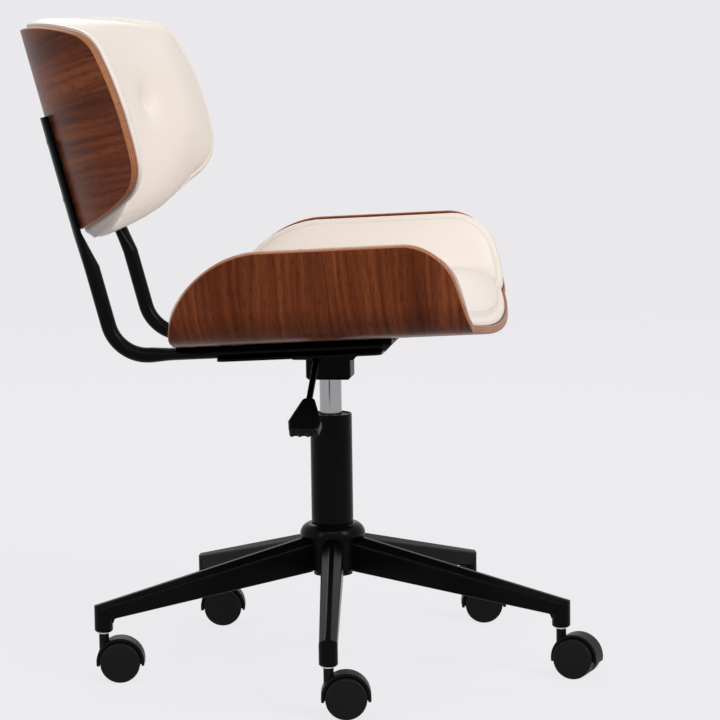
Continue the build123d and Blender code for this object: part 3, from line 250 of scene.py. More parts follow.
drawn_group, drawn_in, drawn_out = shader_group(
    "drawn_lines",
    [
        ("Stretch", "NodeSocketVector", (900.0, 900.0, 30.0)),
        ("Roughness", "NodeSocketFloat", 0.2),
        ("Roughness Spread", "NodeSocketFloat", 0.15),
    ],
    [("Roughness", "NodeSocketFloat"), ("Height", "NodeSocketFloat")],
)
drawn_place = drawn_group.nodes.new("ShaderNodeTexCoord")
drawn_stretch = drawn_group.nodes.new("ShaderNodeVectorMath")
drawn_stretch.operation = "MULTIPLY"
drawn_noise = drawn_group.nodes.new("ShaderNodeTexNoise")
drawn_noise.inputs["Scale"].default_value = 1.0
drawn_noise.inputs["Detail"].default_value = 3.0
drawn_centre = drawn_group.nodes.new("ShaderNodeMath")
drawn_centre.operation = "SUBTRACT"
drawn_centre.inputs[1].default_value = 0.5
drawn_dull = drawn_group.nodes.new("ShaderNodeMath")
drawn_dull.operation = "MULTIPLY_ADD"
for wire in (
    (drawn_place.outputs["Object"], drawn_stretch.inputs[0]),
    (drawn_in.outputs["Stretch"], drawn_stretch.inputs[1]),
    (drawn_stretch.outputs[0], drawn_noise.inputs["Vector"]),
    (drawn_noise.outputs["Fac"], drawn_centre.inputs[0]),
    (drawn_centre.outputs[0], drawn_dull.inputs[0]),
    (drawn_in.outputs["Roughness Spread"], drawn_dull.inputs[1]),
    (drawn_in.outputs["Roughness"], drawn_dull.inputs[2]),
    (drawn_dull.outputs[0], drawn_out.inputs["Roughness"]),
    (drawn_noise.outputs["Fac"], drawn_out.inputs["Height"]),
):
    drawn_group.links.new(*wire)


def drawn_metal(name, colour, stretch, roughness, spread, relief):
    """Bare or plated metal with fine lines from drawing or turning."""
    material, nodes, links, shader = blank_material(name)
    lines = nodes.new("ShaderNodeGroup")
    lines.node_tree = drawn_group
    lines.inputs["Stretch"].default_value = stretch
    lines.inputs["Roughness"].default_value = roughness
    lines.inputs["Roughness Spread"].default_value = spread
    bump = nodes.new("ShaderNodeBump")
    bump.inputs["Strength"].default_value = relief
    bump.inputs["Distance"].default_value = 0.0001
    shader.inputs["Base Color"].default_value = (*colour, 1.0)
    shader.inputs["Metallic"].default_value = 1.0
    links.new(lines.outputs["Roughness"], shader.inputs["Roughness"])
    links.new(lines.outputs["Height"], bump.inputs["Height"])
    links.new(bump.outputs["Normal"], shader.inputs["Normal"])
    return material


turned_steel = drawn_metal(
    "turned_steel", colour=(0.62, 0.62, 0.63), stretch=(60.0, 60.0, 1800.0),
    roughness=0.3, spread=0.16, relief=0.2,
)
for number in range(1, caster_count + 1):
    dress(hood_nylon, f"caster_{number}_hood")
    dress(wheel_nylon, f"caster_{number}_wheel_left", f"caster_{number}_wheel_right")
    dress(turned_steel, f"caster_{number}_stem", f"caster_{number}_axle")

# Star base: five pressed steel legs welded to a tube hub under a domed collar, all sprayed in
# one coat of satin black. Steel sleeves pressed into the leg ends take the caster stems.
satin_black = grained(
    "satin_black", colour=(0.0018, 0.0017, 0.0019), tint=(0.0028, 0.0027, 0.0029),
    grain=700.0, cloud=14.0, roughness=0.24, spread=0.08, relief=0.04, gloss=0.06,
)
dress(satin_black, "base_hub", "hub_collar", *[f"base_leg_{number}" for number in range(1, caster_count + 1)])
dress(turned_steel, "caster_sockets")

# Gas lift: a black column tube wedged in the hub, with a plastic guide bush in its mouth and the
# thrust bearing, piston rod and rubber bumper inside. The cylinder is ground and chromed steel.
ground_chrome = drawn_metal(
    "ground_chrome", colour=(0.36, 0.36, 0.365), stretch=(1400.0, 1400.0, 18.0),
    roughness=0.16, spread=0.14, relief=0.12,
)
bush_nylon = grained(
    "bush_nylon", colour=(0.009, 0.009, 0.009), tint=(0.014, 0.014, 0.014),
    grain=900.0, cloud=40.0, roughness=0.42, spread=0.12, relief=0.12, gloss=0.12,
)
bumper_rubber = grained(
    "bumper_rubber", colour=(0.010, 0.010, 0.010), tint=(0.018, 0.017, 0.016),
    grain=800.0, cloud=90.0, roughness=0.82, spread=0.12, relief=0.4, gloss=0.2,
)
dress(satin_black, "column_tube")
dress(bush_nylon, "guide_bush", "piston_head")
dress(ground_chrome, "gas_cylinder", "piston_rod")
dress(turned_steel, "thrust_bearing", "rod_clip", "release_button")
dress(bumper_rubber, "rod_bumper")

# Seat mechanism: a pressed steel plate with a pan, the receiver block that grips the cylinder and
# the small bracket for the lever, welded together and black. The lever is a bent black rod.
mechanism_black = grained(
    "mechanism_black", colour=(0.0016, 0.0015, 0.0017), tint=(0.0028, 0.0027, 0.0029),
    grain=1100.0, cloud=22.0, roughness=0.34, spread=0.12, relief=0.12, gloss=0.06,
)
dress(mechanism_black, "seat_plate", "cylinder_receiver", "lever_bracket", "lever_rod")
dress(turned_steel, "lever_pin")

# Lever paddle: one black plastic moulding pushed onto the end of the rod, with finger hollows in
# its sides and a fine mould texture.
paddle_nylon = grained(
    "paddle_nylon", colour=(0.0025, 0.0024, 0.0026), tint=(0.0045, 0.0044, 0.0046),
    grain=1500.0, cloud=45.0, roughness=0.34, spread=0.12, relief=0.18, gloss=0.09,
)
dress(paddle_nylon, "lever_paddle")

# Back tubes: two bent steel tubes, pinched flat behind the back and under the seat, satin black,
# with a bevelled plastic plug in each front end.
dress(satin_black, "back_tube_left", "back_tube_right")
dress(bush_nylon, "tube_plugs")

# Bolts: black countersunk screws through the tubes and the seat plate. They are drawn up into
# zinc-plated tee nuts that are sunk in the ply under the pads.
bolt_black = drawn_metal(
    "bolt_black", colour=(0.05, 0.05, 0.052), stretch=(1500.0, 1500.0, 300.0),
    roughness=0.36, spread=0.16, relief=0.2,
)
zinc_plate = drawn_metal(
    "zinc_plate", colour=(0.55, 0.55, 0.53), stretch=(260.0, 260.0, 260.0),
    roughness=0.40, spread=0.2, relief=0.2,
)
dress(bolt_black, "seat_bolts", "back_bolts")
dress(zinc_plate, "seat_tee_nuts", "back_tee_nuts")

# Seat shell: walnut-faced plywood, bent up at both sides into wings, lacquered satin. The grain
# runs across the seat and up the wings, and the rounded edge shows the plies.
seat_ply = 0.010
seat_floor_radius = 1.2
seat_bend_radius = 0.055
wing_lean = math.radians(12.0)
wing_tip = Vector((0.260, 0.1313))
seat_tilt = math.radians(2.6)
seat_origin = Vector((0.0, 0.0, 0.4217))
ply_round = 0.0014
outline_points = 6001
seat_along = Vector((math.cos(seat_tilt), 0.0, math.sin(seat_tilt)))
seat_up = Vector((-math.sin(seat_tilt), 0.0, math.cos(seat_tilt)))
wing_run = Vector((math.sin(wing_lean), math.cos(wing_lean)))
wing_inward = Vector((-wing_run.y, wing_run.x))
wing_offset = wing_tip + wing_inward * seat_bend_radius
floor_to_wing = wing_offset - Vector((0.0, seat_floor_radius))
slide = floor_to_wing.dot(wing_run)
slide_rest = floor_to_wing.length_squared - (seat_floor_radius - seat_bend_radius) ** 2
bend_centre = wing_offset + wing_run * (-slide - math.sqrt(slide**2 - slide_rest))
floor_turn = math.atan2(bend_centre.x, seat_floor_radius - bend_centre.y)
floor_run = seat_floor_radius * floor_turn
bend_run = seat_bend_radius * (math.pi / 2 - wing_lean - floor_turn)
wing_start = bend_centre - wing_inward * seat_bend_radius
wing_length = (wing_tip.y - wing_start.y - seat_ply / 2 * wing_inward.y) / wing_run.y
seat_half_run = floor_run + bend_run + wing_length - 0.0003


def seat_frame(run):
    """Place and inward direction on the shell's outer face, a run sideways from the middle."""
    side, run = math.copysign(1.0, run), abs(run)
    if run < floor_run:
        inward = Vector((-math.sin(run / seat_floor_radius), math.cos(run / seat_floor_radius)))
        place = Vector((0.0, seat_floor_radius)) - inward * seat_floor_radius
    elif run < floor_run + bend_run:
        turn = floor_turn + (run - floor_run) / seat_bend_radius
        inward = Vector((-math.sin(turn), math.cos(turn)))
        place = bend_centre - inward * seat_bend_radius
    else:
        inward = wing_inward
        place = wing_start + wing_run * (run - floor_run - bend_run)
    spot = seat_origin + Vector((0.0, side * place.x, 0.0)) + seat_up * place.y
    return spot, Vector((0.0, side * inward.x, 0.0)) + seat_up * inward.y


def on_shell(flat, depth, frame_at, along):
    """Points of the flat pattern, laid on the bent shell at a depth in from its outer face."""
    depths = np.broadcast_to(depth, len(flat))
    laid = []
    for (run, reach), deep in zip(flat, depths):
        spot, inward = frame_at(run)
        laid.append(spot + inward * float(deep) + along * float(reach))
    return np.array(laid)


def even_points(line, count):
    """A polyline resampled at even steps along its length."""
    steps = np.linalg.norm(np.diff(line, axis=0), axis=1)
    length = np.concatenate([[0.0], np.cumsum(steps)])
    marks = np.linspace(0, length[-1], count)
    return np.column_stack([np.interp(marks, length, line[:, axis]) for axis in range(line.shape[1])])


def flat_outline(node, frame_at, along, ply, half_run):
    """The flat pattern's closed outline, read from the solid's edges, counter-clockwise."""
    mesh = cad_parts[node].data
    solid = BVHTree.FromPolygons([v.co for v in mesh.vertices], [p.vertices for p in mesh.polygons])
    low, high = [], []
    for share in np.linspace(-1, 1, 501):
        run = half_run * math.sin(share * math.pi / 2)
        spot, inward = frame_at(run)
        middle = spot + inward * (ply / 2)
        near = solid.ray_cast(middle - along * 2.0, along)[0]
        far = solid.ray_cast(middle + along * 2.0, -along)[0]
        low.append((run, (near - middle).dot(along)))
        high.append((run, (far - middle).dot(along)))
    return even_points(np.array(low + high[::-1]), outline_points)[:-1]


def inset_outline(outline, inset):
    """The outline moved inwards by a distance, each point along a direction taken across its neighbours."""
    ahead = np.roll(outline, -3, axis=0) - np.roll(outline, 3, axis=0)
    normal = np.column_stack([-ahead[:, 1], ahead[:, 0]])
    normal /= np.linalg.norm(normal, axis=1, keepdims=True) + 1e-12
    return outline + normal * inset


def gathered(share):
    """Even shares drawn a little towards both ends."""
    return 0.45 * share + 0.55 * (1 - np.cos(np.pi * share)) / 2


def four_sides(outline, columns, rows):
    """Index lists that split an outline at its four corners into two long and two short sides."""
    middle = (outline.max(0) + outline.min(0)) / 2
    scaled = (outline - middle) / (outline.max(0) - middle)
    corners = [int(np.argmax(scaled @ np.array(way))) for way in ((-1, -1), (1, -1), (1, 1), (-1, 1))]
    sides = []
    for start, end, count in zip(corners, corners[1:] + corners[:1], (columns, rows, columns, rows)):
        span = (end - start) % len(outline)
        steps = np.round(gathered(np.linspace(0, 1, count)) * span).astype(int)
        sides.append((start + steps) % len(outline))
    return sides


def filled(outline, sides):
    """A grid of points over the flat pattern that follows all four sides."""
    low, right, high, left = (outline[side] for side in sides)
    high, left = high[::-1], left[::-1]
    u = gathered(np.linspace(0, 1, len(low)))[:, None, None]
    v = gathered(np.linspace(0, 1, len(right)))[None, :, None]
    edges = (1 - v) * low[:, None] + v * high[:, None]
    edges = edges + (1 - u) * left[None] + u * right[None]
    corner = (1 - u) * (1 - v) * low[0] + u * (1 - v) * low[-1]
    corner = corner + (1 - u) * v * high[0] + u * v * high[-1]
    return edges - corner


def rim_index(columns, rows):
    """Grid places round the rim, counter-clockwise, each named once."""
    low = [(i, 0) for i in range(columns - 1)]
    right = [(columns - 1, j) for j in range(rows - 1)]
    high = [(i, rows - 1) for i in range(columns - 1, 0, -1)]
    left = [(0, j) for j in range(rows - 1, 0, -1)]
    return [i * rows + j for i, j in low + right + high + left]


def grid_faces(columns, rows, start, flip):
    """Quads of a grid whose points start at an index."""
    faces = []
    for i in range(columns - 1):
        for j in range(rows - 1):
            a = start + i * rows + j
            quad = (a, a + rows, a + rows + 1, a + 1)
            faces.append(quad[::-1] if flip else quad)
    return faces


def turned_out(mesh, frame_at, along):
    """Turn the faces outwards where run, along and inward make a left-handed set."""
    (start, inward), (end, _) = frame_at(-0.001), frame_at(0.001)
    if (end - start).cross(along).dot(inward) < 0:
        mesh.flip_normals()
    mesh.update()


def ply_shell(name, node, frame_at, along, ply, half_run, columns, rows):
    """A bent plywood shell with rounded edges, its flat pattern kept as the grain's coordinates."""
    outline = flat_outline(node, frame_at, along, ply, half_run)
    sides = four_sides(outline, columns, rows)
    face_flat = filled(inset_outline(outline, ply_round), sides).reshape(-1, 2)
    rim = np.concatenate([side[:-1] for side in sides])
    soft = 0.29 * ply_round
    rings = [(soft, soft), (0.0, ply_round), (0.0, ply - ply_round), (soft, ply - soft)]
    flats, depths = [face_flat, face_flat], [np.zeros(len(face_flat)), np.full(len(face_flat), ply)]
    for inset, depth in rings:
        flats.append(inset_outline(outline, inset)[rim])
        depths.append(np.full(len(rim), depth))
    flat, depth = np.concatenate(flats), np.concatenate(depths)
    faces = grid_faces(columns, rows, 0, True) + grid_faces(columns, rows, len(face_flat), False)
    face_count = len(faces)
    grid_rim = np.array(rim_index(columns, rows))
    first = 2 * len(face_flat)
    loops = [grid_rim] + [first + k * len(rim) + np.arange(len(rim)) for k in range(4)]
    loops.append(grid_rim + len(face_flat))
    for lower, upper in zip(loops, loops[1:]):
        for k in range(len(rim)):
            after = (k + 1) % len(rim)
            faces.append((int(lower[k]), int(lower[after]), int(upper[after]), int(upper[k])))
    mesh = bpy.data.meshes.new(name)
    mesh.from_pydata(on_shell(flat, depth, frame_at, along).tolist(), [], faces)
    turned_out(mesh, frame_at, along)
    grain = mesh.uv_layers.new(name="grain")
    corners = np.array([corner.vertex_index for corner in mesh.loops])
    grain.data.foreach_set("uv", flat[corners].astype(np.float32).ravel())
    layer = mesh.attributes.new("layer", "FLOAT", "POINT")
    layer.data.foreach_set("value", (depth / ply).astype(np.float32))
    edge = mesh.attributes.new("ply_edge", "FLOAT", "FACE")
    edge.data.foreach_set("value", (np.arange(len(faces)) >= face_count).astype(np.float32))
    mesh.polygons.foreach_set("use_smooth", [True] * len(faces))
    shell = bpy.data.objects.new(name, mesh)
    scene.collection.objects.link(shell)
    return shell


walnut, walnut_nodes, walnut_links, walnut_shader = blank_material("walnut_ply")
walnut_shader.inputs["Specular IOR Level"].default_value = 0.08
pattern = walnut_nodes.new("ShaderNodeUVMap")
pattern.uv_map = "grain"


def stretched(source, scale, detail):
    """Noise drawn out along the grain of the veneer."""
    size = walnut_nodes.new("ShaderNodeVectorMath")
    size.operation = "MULTIPLY"
    size.inputs[1].default_value = (*scale, 1.0)
    noise = walnut_nodes.new("ShaderNodeTexNoise")
    noise.inputs["Scale"].default_value = 1.0
    noise.inputs["Detail"].default_value = detail
    walnut_links.new(source, size.inputs[0])
    walnut_links.new(size.outputs[0], noise.inputs["Vector"])
    return noise.outputs["Fac"]


def ramp(source, stops):
    """Colours along a value."""
    colours = walnut_nodes.new("ShaderNodeValToRGB")
    while len(colours.color_ramp.elements) < len(stops):
        colours.color_ramp.elements.new(0.5)
    for element, (place, colour) in zip(colours.color_ramp.elements, stops):
        element.position = place
        element.color = (*colour, 1.0)
    walnut_links.new(source, colours.inputs["Fac"])
    return colours.outputs["Color"]


def reckon(operation, first, second, third=None):
    """One sum of two or three values, each a socket or a number."""
    sums = walnut_nodes.new("ShaderNodeMath")
    sums.operation = operation
    for socket, value in zip(sums.inputs, (first, second, third)):
        if isinstance(value, (int, float)):
            socket.default_value = value
        elif value is not None:
            walnut_links.new(value, socket)
    return sums.outputs[0]


def blended(kind, amount, first, second):
    """Two colours laid over each other."""
    layers = walnut_nodes.new("ShaderNodeMix")
    layers.data_type = "RGBA"
    layers.blend_type = kind
    for label, value in (("Factor", amount), ("A", first), ("B", second)):
        if isinstance(value, (int, float)):
            layers.inputs[label].default_value = value
        else:
            walnut_links.new(value, layers.inputs[label])
    return layers.outputs["Result"]


wander = stretched(pattern.outputs["UV"], (2.2, 9.0), 3.0)
bent = walnut_nodes.new("ShaderNodeCombineXYZ")
walnut_links.new(reckon("MULTIPLY", wander, 0.05), bent.inputs["Y"])
swayed = walnut_nodes.new("ShaderNodeVectorMath")
swayed.operation = "ADD"
walnut_links.new(pattern.outputs["UV"], swayed.inputs[0])
walnut_links.new(bent.outputs[0], swayed.inputs[1])
lines = stretched(swayed.outputs[0], (3.5, 150.0), 5.0)
bands = stretched(swayed.outputs[0], (1.6, 34.0), 3.0)
pores = stretched(pattern.outputs["UV"], (60.0, 1500.0), 2.0)
tone = stretched(pattern.outputs["UV"], (1.5, 5.0), 2.0)
figure = reckon("MULTIPLY_ADD", lines, 0.5, reckon("MULTIPLY", bands, 0.5))
face_colour = ramp(
    figure,
    [
        (0.36, (0.090, 0.0180, 0.0058)),
        (0.46, (0.158, 0.0365, 0.0122)),
        (0.54, (0.212, 0.0528, 0.0180)),
        (0.66, (0.325, 0.0910, 0.0320)),
    ],
)
pore_shade = ramp(pores, [(0.36, (0.45, 0.42, 0.4)), (0.46, (1.0, 1.0, 1.0))])
tone_shade = ramp(tone, [(0.3, (0.82, 0.8, 0.78)), (0.7, (1.12, 1.1, 1.08))])
face_colour = blended("MULTIPLY", 1.0, face_colour, pore_shade)
face_colour = blended("MULTIPLY", 1.0, face_colour, tone_shade)
layer = walnut_nodes.new("ShaderNodeAttribute")
layer.attribute_name = "layer"
ply_wave = reckon("SINE", reckon("MULTIPLY", layer.outputs["Fac"], 7 * math.pi), 0.0)
ply_fibre = stretched(pattern.outputs["UV"], (400.0, 400.0), 3.0)
ply_place = reckon("MULTIPLY_ADD", ply_wave, 0.14, reckon("MULTIPLY_ADD", ply_fibre, 0.4, 0.34))
edge_colour = ramp(
    ply_place,
    [(0.2, (0.175, 0.0580, 0.0250)), (0.5, (0.350, 0.1350, 0.0590)), (0.8, (0.490, 0.2300, 0.1220))],
)
ply_edge = walnut_nodes.new("ShaderNodeAttribute")
ply_edge.attribute_name = "ply_edge"
walnut_links.new(
    blended("MIX", ply_edge.outputs["Fac"], face_colour, edge_colour), walnut_shader.inputs["Base Color"]
)
walnut_links.new(reckon("MULTIPLY_ADD", lines, 0.22, 0.24), walnut_shader.inputs["Roughness"])
veneer_relief = walnut_nodes.new("ShaderNodeBump")
veneer_relief.inputs["Strength"].default_value = 0.12
veneer_relief.inputs["Distance"].default_value = 0.0002
walnut_links.new(reckon("MULTIPLY_ADD", pores, 0.6, lines), veneer_relief.inputs["Height"])
walnut_links.new(veneer_relief.outputs["Normal"], walnut_shader.inputs["Normal"])

seat_wood = ply_shell(
    "seat_wood", "seat_shell", seat_frame, seat_along, seat_ply, seat_half_run, columns=150, rows=60
)
seat_wood.data.materials.append(walnut)
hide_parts("seat_shell")
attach(seat_wood, "seat")

# Seat pad: foam under cream leather cloth, glued into the shell. A seam a few millimetres in from
# its edge makes a narrow roll all round, and a line of thread runs just inside the seam.
seat_pad_margin = 0.0035
seat_overhang = 0.0065
seat_seam = 0.0055
seat_border = 0.008
seat_crown = 0.043
bend_crown = 0.031
wing_crown = 0.019
tip_crown = 0.012
wing_half_length = 0.12
seam_depth = 0.0017
seam_width = 0.0014
pad_gap = 0.0003
glued_band = 0.008
glued_hold = 0.9
swell_cap = 0.006
swell_frames = 20
fold_easing = 40
cover_easing = 24
stitch_inset = 0.0035
stitch_clearance = 0.008


def edge_distance(flat, outline):
    """How far points of the flat pattern are from its outline."""
    marks = outline[::3]
    nearest = [np.sqrt(((marks - point) ** 2).sum(1).min()) for point in flat]
    return np.array(nearest)


def quarter_round(share):
    """Rise of a rounded edge, from nothing at its foot to one where it levels off."""
    return np.sqrt(np.clip(1 - (1 - np.clip(share, 0, 1)) ** 2, 0, 1))


def no_spread(flat, gap):
    """A pad whose sides stand straight up from its outline."""
    return np.zeros(len(flat))


def pad_object(name, outline, lift, spread, base, frame_at, along, columns, rows):
    """A closed pad laid on the shell, its sides spread past the outline, its rim marked as held."""
    sides = four_sides(outline, columns, rows)
    flat = filled(outline, sides).reshape(-1, 2)
    gap = edge_distance(flat, outline)
    rim = np.array(rim_index(columns, rows))
    gap[rim] = 0.0
    inner = np.setdiff1d(np.arange(len(flat)), rim)
    full = flat + np.column_stack([np.zeros(len(flat)), spread(flat, gap)])
    top = on_shell(full, base + lift(flat, gap), frame_at, along)
    under = on_shell(flat[inner], base, frame_at, along)
    below = np.arange(len(flat))
    below[inner] = len(flat) + np.arange(len(inner))
    faces = grid_faces(columns, rows, 0, False)
    faces += [tuple(int(below[k]) for k in face[::-1]) for face in grid_faces(columns, rows, 0, False)]
    mesh = bpy.data.meshes.new(name)
    mesh.from_pydata(np.concatenate([top, under]).tolist(), [], faces)
    turned_out(mesh, frame_at, along)
    for label, axis in (("run", 0), ("reach", 1)):
        attribute = mesh.attributes.new(label, "FLOAT", "POINT")
        attribute.data.foreach_set(
            "value", np.concatenate([flat[:, axis], flat[inner, axis]]).astype(np.float32)
        )
    top_mark = mesh.attributes.new("on_top", "FLOAT", "POINT")
    on_top = np.concatenate([np.ones(len(flat)), np.zeros(len(inner))])
    on_top[rim] = 0.0
    top_mark.data.foreach_set("value", on_top.astype(np.float32))
    mesh.polygons.foreach_set("use_smooth", [True] * len(faces))
    pad = bpy.data.objects.new(name, mesh)
    scene.collection.objects.link(pad)
    held = pad.vertex_groups.new(name="held")
    held.add(np.flatnonzero(on_top < 0.5).tolist(), 1.0, "REPLACE")
    near_rim = np.append(gap, np.zeros(len(inner))) < glued_band
    held.add(np.flatnonzero((on_top > 0.5) & near_rim).tolist(), glued_hold, "REPLACE")
    return pad


def points_of(mesh):
    """A mesh's points as an array."""
    places = np.zeros(len(mesh.vertices) * 3, np.float32)
    mesh.vertices.foreach_get("co", places)
    return places.reshape(-1, 3).astype(float)


def swell(pad):
    """Fill the cover with foam: blow it up as cloth within a cap, and ease out its folds."""
    before = points_of(pad.data)
    cloth = pad.modifiers.new("cover", "CLOTH")
    cloth.settings.quality = 5
    cloth.settings.mass = 0.3
    cloth.settings.tension_stiffness = 25.0
    cloth.settings.compression_stiffness = 25.0
    cloth.settings.bending_stiffness = 4.0
    cloth.settings.use_pressure = True
    cloth.settings.uniform_pressure_force = 4.0
    cloth.settings.effector_weights.gravity = 0.0
    cloth.settings.vertex_group_mass = "held"
    cloth.collision_settings.use_collision = False
    cloth.point_cache.frame_start = 1
    cloth.point_cache.frame_end = swell_frames
    for step in range(1, swell_frames + 1):
        scene.frame_set(step)
    shaped = pad.evaluated_get(bpy.context.evaluated_depsgraph_get())
    after = points_of(shaped.data)
    pad.modifiers.remove(cloth)
    scene.frame_set(1)
    ends = np.array([edge.vertices[:] for edge in pad.data.edges])
    meet = np.bincount(ends.ravel(), minlength=len(before))[:, None]
    loose = np.array([not vertex.groups for vertex in pad.data.vertices])[:, None]

    def eased(values, steps, share):
        """Values drawn towards those of their neighbours, step by step."""
        for _ in range(steps):
            around = np.zeros_like(values)
            np.add.at(around, ends[:, 0], values[ends[:, 1]])
            np.add.at(around, ends[:, 1], values[ends[:, 0]])
            values = values + share * (around / meet - values)
        return values

    move = eased(after - before, fold_easing, 0.5)
    size = np.linalg.norm(move, axis=1, keepdims=True)
    move *= np.minimum(1.0, swell_cap / np.maximum(size, 1e-9))
    filled_out = eased(before + move, cover_easing, 0.5 * loose)
    pad.data.vertices.foreach_set("co", filled_out.astype(np.float32).ravel())
    pad.data.update()


def refined(pad):
    """The pad with one subdivision applied."""
    smooth = pad.modifiers.new("smooth", "SUBSURF")
    smooth.levels = 1
    smooth.render_levels = 1
    shaped = pad.evaluated_get(bpy.context.evaluated_depsgraph_get())
    mesh = bpy.data.meshes.new_from_object(shaped)
    pad.modifiers.remove(smooth)
    pad.data = mesh


def sew(pad, outline, seam, press):
    """Press the seam and any tufts into the top of the pad."""
    mesh = pad.data
    count = len(mesh.vertices)
    values = {}
    for label in ("run", "reach", "on_top"):
        values[label] = np.zeros(count, np.float32)
        mesh.attributes[label].data.foreach_get("value", values[label])
    flat = np.column_stack([values["run"], values["reach"]]).astype(float)
    normals = np.zeros(count * 3, np.float32)
    mesh.vertices.foreach_get("normal", normals)
    normals = normals.reshape(-1, 3)
    gap = edge_distance(flat, outline)
    dip = seam_depth * np.exp(-(((gap - seam) / seam_width) ** 2)) + press(flat)
    places = points_of(mesh) - normals * (dip * (values["on_top"] > 0.01))[:, None]
    mesh.vertices.foreach_set("co", places.astype(np.float32).ravel())
    mesh.update()


cream, cream_nodes, cream_links, cream_shader = blank_material("cream_leather")
cream_shader.inputs["Specular IOR Level"].default_value = 0.38
hide = cream_nodes.new("ShaderNodeTexCoord")
hide_cells = cream_nodes.new("ShaderNodeTexVoronoi")
hide_cells.feature = "SMOOTH_F1"
hide_cells.inputs["Scale"].default_value = 720.0
hide_cells.inputs["Smoothness"].default_value = 0.6
hide_creases = cream_nodes.new("ShaderNodeTexNoise")
hide_creases.inputs["Scale"].default_value = 240.0
hide_creases.inputs["Detail"].default_value = 4.0
hide_cloud = cream_nodes.new("ShaderNodeTexNoise")
hide_cloud.inputs["Scale"].default_value = 9.0
hide_cloud.inputs["Detail"].default_value = 3.0
hide_colour = cream_nodes.new("ShaderNodeMix")
hide_colour.data_type = "RGBA"
hide_colour.inputs["A"].default_value = (0.850, 0.762, 0.690, 1.0)
hide_colour.inputs["B"].default_value = (0.880, 0.802, 0.735, 1.0)
hide_height = cream_nodes.new("ShaderNodeMath")
hide_height.operation = "MULTIPLY_ADD"
hide_height.inputs[1].default_value = 0.5
hide_gloss = cream_nodes.new("ShaderNodeMath")
hide_gloss.operation = "MULTIPLY_ADD"
hide_gloss.inputs[1].default_value = 0.16
hide_gloss.inputs[2].default_value = 0.36
hide_relief = cream_nodes.new("ShaderNodeBump")
hide_relief.inputs["Strength"].default_value = 0.10
hide_relief.inputs["Distance"].default_value = 0.0004
for wire in (
    (hide.outputs["Object"], hide_cells.inputs["Vector"]),
    (hide.outputs["Object"], hide_creases.inputs["Vector"]),
    (hide.outputs["Object"], hide_cloud.inputs["Vector"]),
    (hide_cloud.outputs["Fac"], hide_colour.inputs["Factor"]),
    (hide_colour.outputs["Result"], cream_shader.inputs["Base Color"]),
    (hide_creases.outputs["Fac"], hide_height.inputs[0]),
    (hide_cells.outputs["Distance"], hide_height.inputs[2]),
    (hide_creases.outputs["Fac"], hide_gloss.inputs[0]),
    (hide_gloss.outputs[0], cream_shader.inputs["Roughness"]),
    (hide_height.outputs[0], hide_relief.inputs["Height"]),
    (hide_relief.outputs["Normal"], cream_shader.inputs["Normal"]),
):
    cream_links.new(*wire)


def seat_thickness(run):
    """Height of the seat pad's crown, a run sideways from the middle."""
    run = np.abs(run)
    on_floor = seat_crown - (seat_crown - bend_crown) * np.clip(run / floor_run, 0, 1) ** 3
    round_bend = bend_crown - (bend_crown - wing_crown) * np.clip((run - floor_run) / bend_run, 0, 1)
    wing_share = np.clip((run - floor_run - bend_run) / wing_length, 0, 1)
    up_wing = wing_crown - (wing_crown - tip_crown) * wing_share**2
    return np.where(run < floor_run, on_floor, np.where(run < floor_run + bend_run, round_bend, up_wing))


def seat_lift(flat, gap):
    """Height of the seat pad over the shell: a narrow roll up to the seam, then the crown."""
    crown = seat_thickness(flat[:, 0])
    level = 0.86 + 0.14 * np.clip(1 - ((flat[:, 1] - 0.02) / 0.19) ** 2, 0, 1)
    roll = 0.010 + 0.5 * crown
    border = seat_border * quarter_round(gap / seat_seam)
    return border + (crown - seat_border) * level * quarter_round((gap - seat_seam) / roll)


stitch_group = bpy.data.node_groups.new("stitch_row", "GeometryNodeTree")
stitch_inputs = {}
for label, kind in (
    ("Path", "NodeSocketGeometry"),
    ("Spacing", "NodeSocketFloat"),
    ("Length", "NodeSocketFloat"),
    ("Thickness", "NodeSocketFloat"),
    ("Unevenness", "NodeSocketFloat"),
    ("Seed", "NodeSocketInt"),
    ("Thread", "NodeSocketMaterial"),
):
    socket = stitch_group.interface.new_socket(label, in_out="INPUT", socket_type=kind)
    stitch_inputs[label] = socket.identifier
stitch_group.interface.new_socket("Stitches", in_out="OUTPUT", socket_type="NodeSocketGeometry")
stitch_in = stitch_group.nodes.new("NodeGroupInput")
stitch_out = stitch_group.nodes.new("NodeGroupOutput")
stitch_curve = stitch_group.nodes.new("GeometryNodeMeshToCurve")
stitch_steps = stitch_group.nodes.new("GeometryNodeResampleCurve")
stitch_steps.mode = "LENGTH"
stitch_bead = stitch_group.nodes.new("GeometryNodeMeshUVSphere")
stitch_bead.inputs["Segments"].default_value = 8
stitch_bead.inputs["Rings"].default_value = 6
stitch_bead.inputs["Radius"].default_value = 0.5
stitch_tangent = stitch_group.nodes.new("GeometryNodeInputTangent")
stitch_turn = stitch_group.nodes.new("FunctionNodeAlignRotationToVector")
stitch_turn.axis = "X"
stitch_low = stitch_group.nodes.new("ShaderNodeMath")
stitch_low.operation = "SUBTRACT"
stitch_low.inputs[0].default_value = 1.0
stitch_random = stitch_group.nodes.new("FunctionNodeRandomValue")
stitch_random.data_type = "FLOAT"
stitch_long = stitch_group.nodes.new("ShaderNodeMath")
stitch_long.operation = "MULTIPLY"
stitch_size = stitch_group.nodes.new("ShaderNodeCombineXYZ")
stitch_place = stitch_group.nodes.new("GeometryNodeInstanceOnPoints")
stitch_real = stitch_group.nodes.new("GeometryNodeRealizeInstances")
stitch_thread = stitch_group.nodes.new("GeometryNodeSetMaterial")
shortest, longest = [socket for socket in stitch_random.inputs if socket.type == "VALUE"][:2]
longest.default_value = 1.0
share_of_length = [socket for socket in stitch_random.outputs if socket.type == "VALUE"][0]
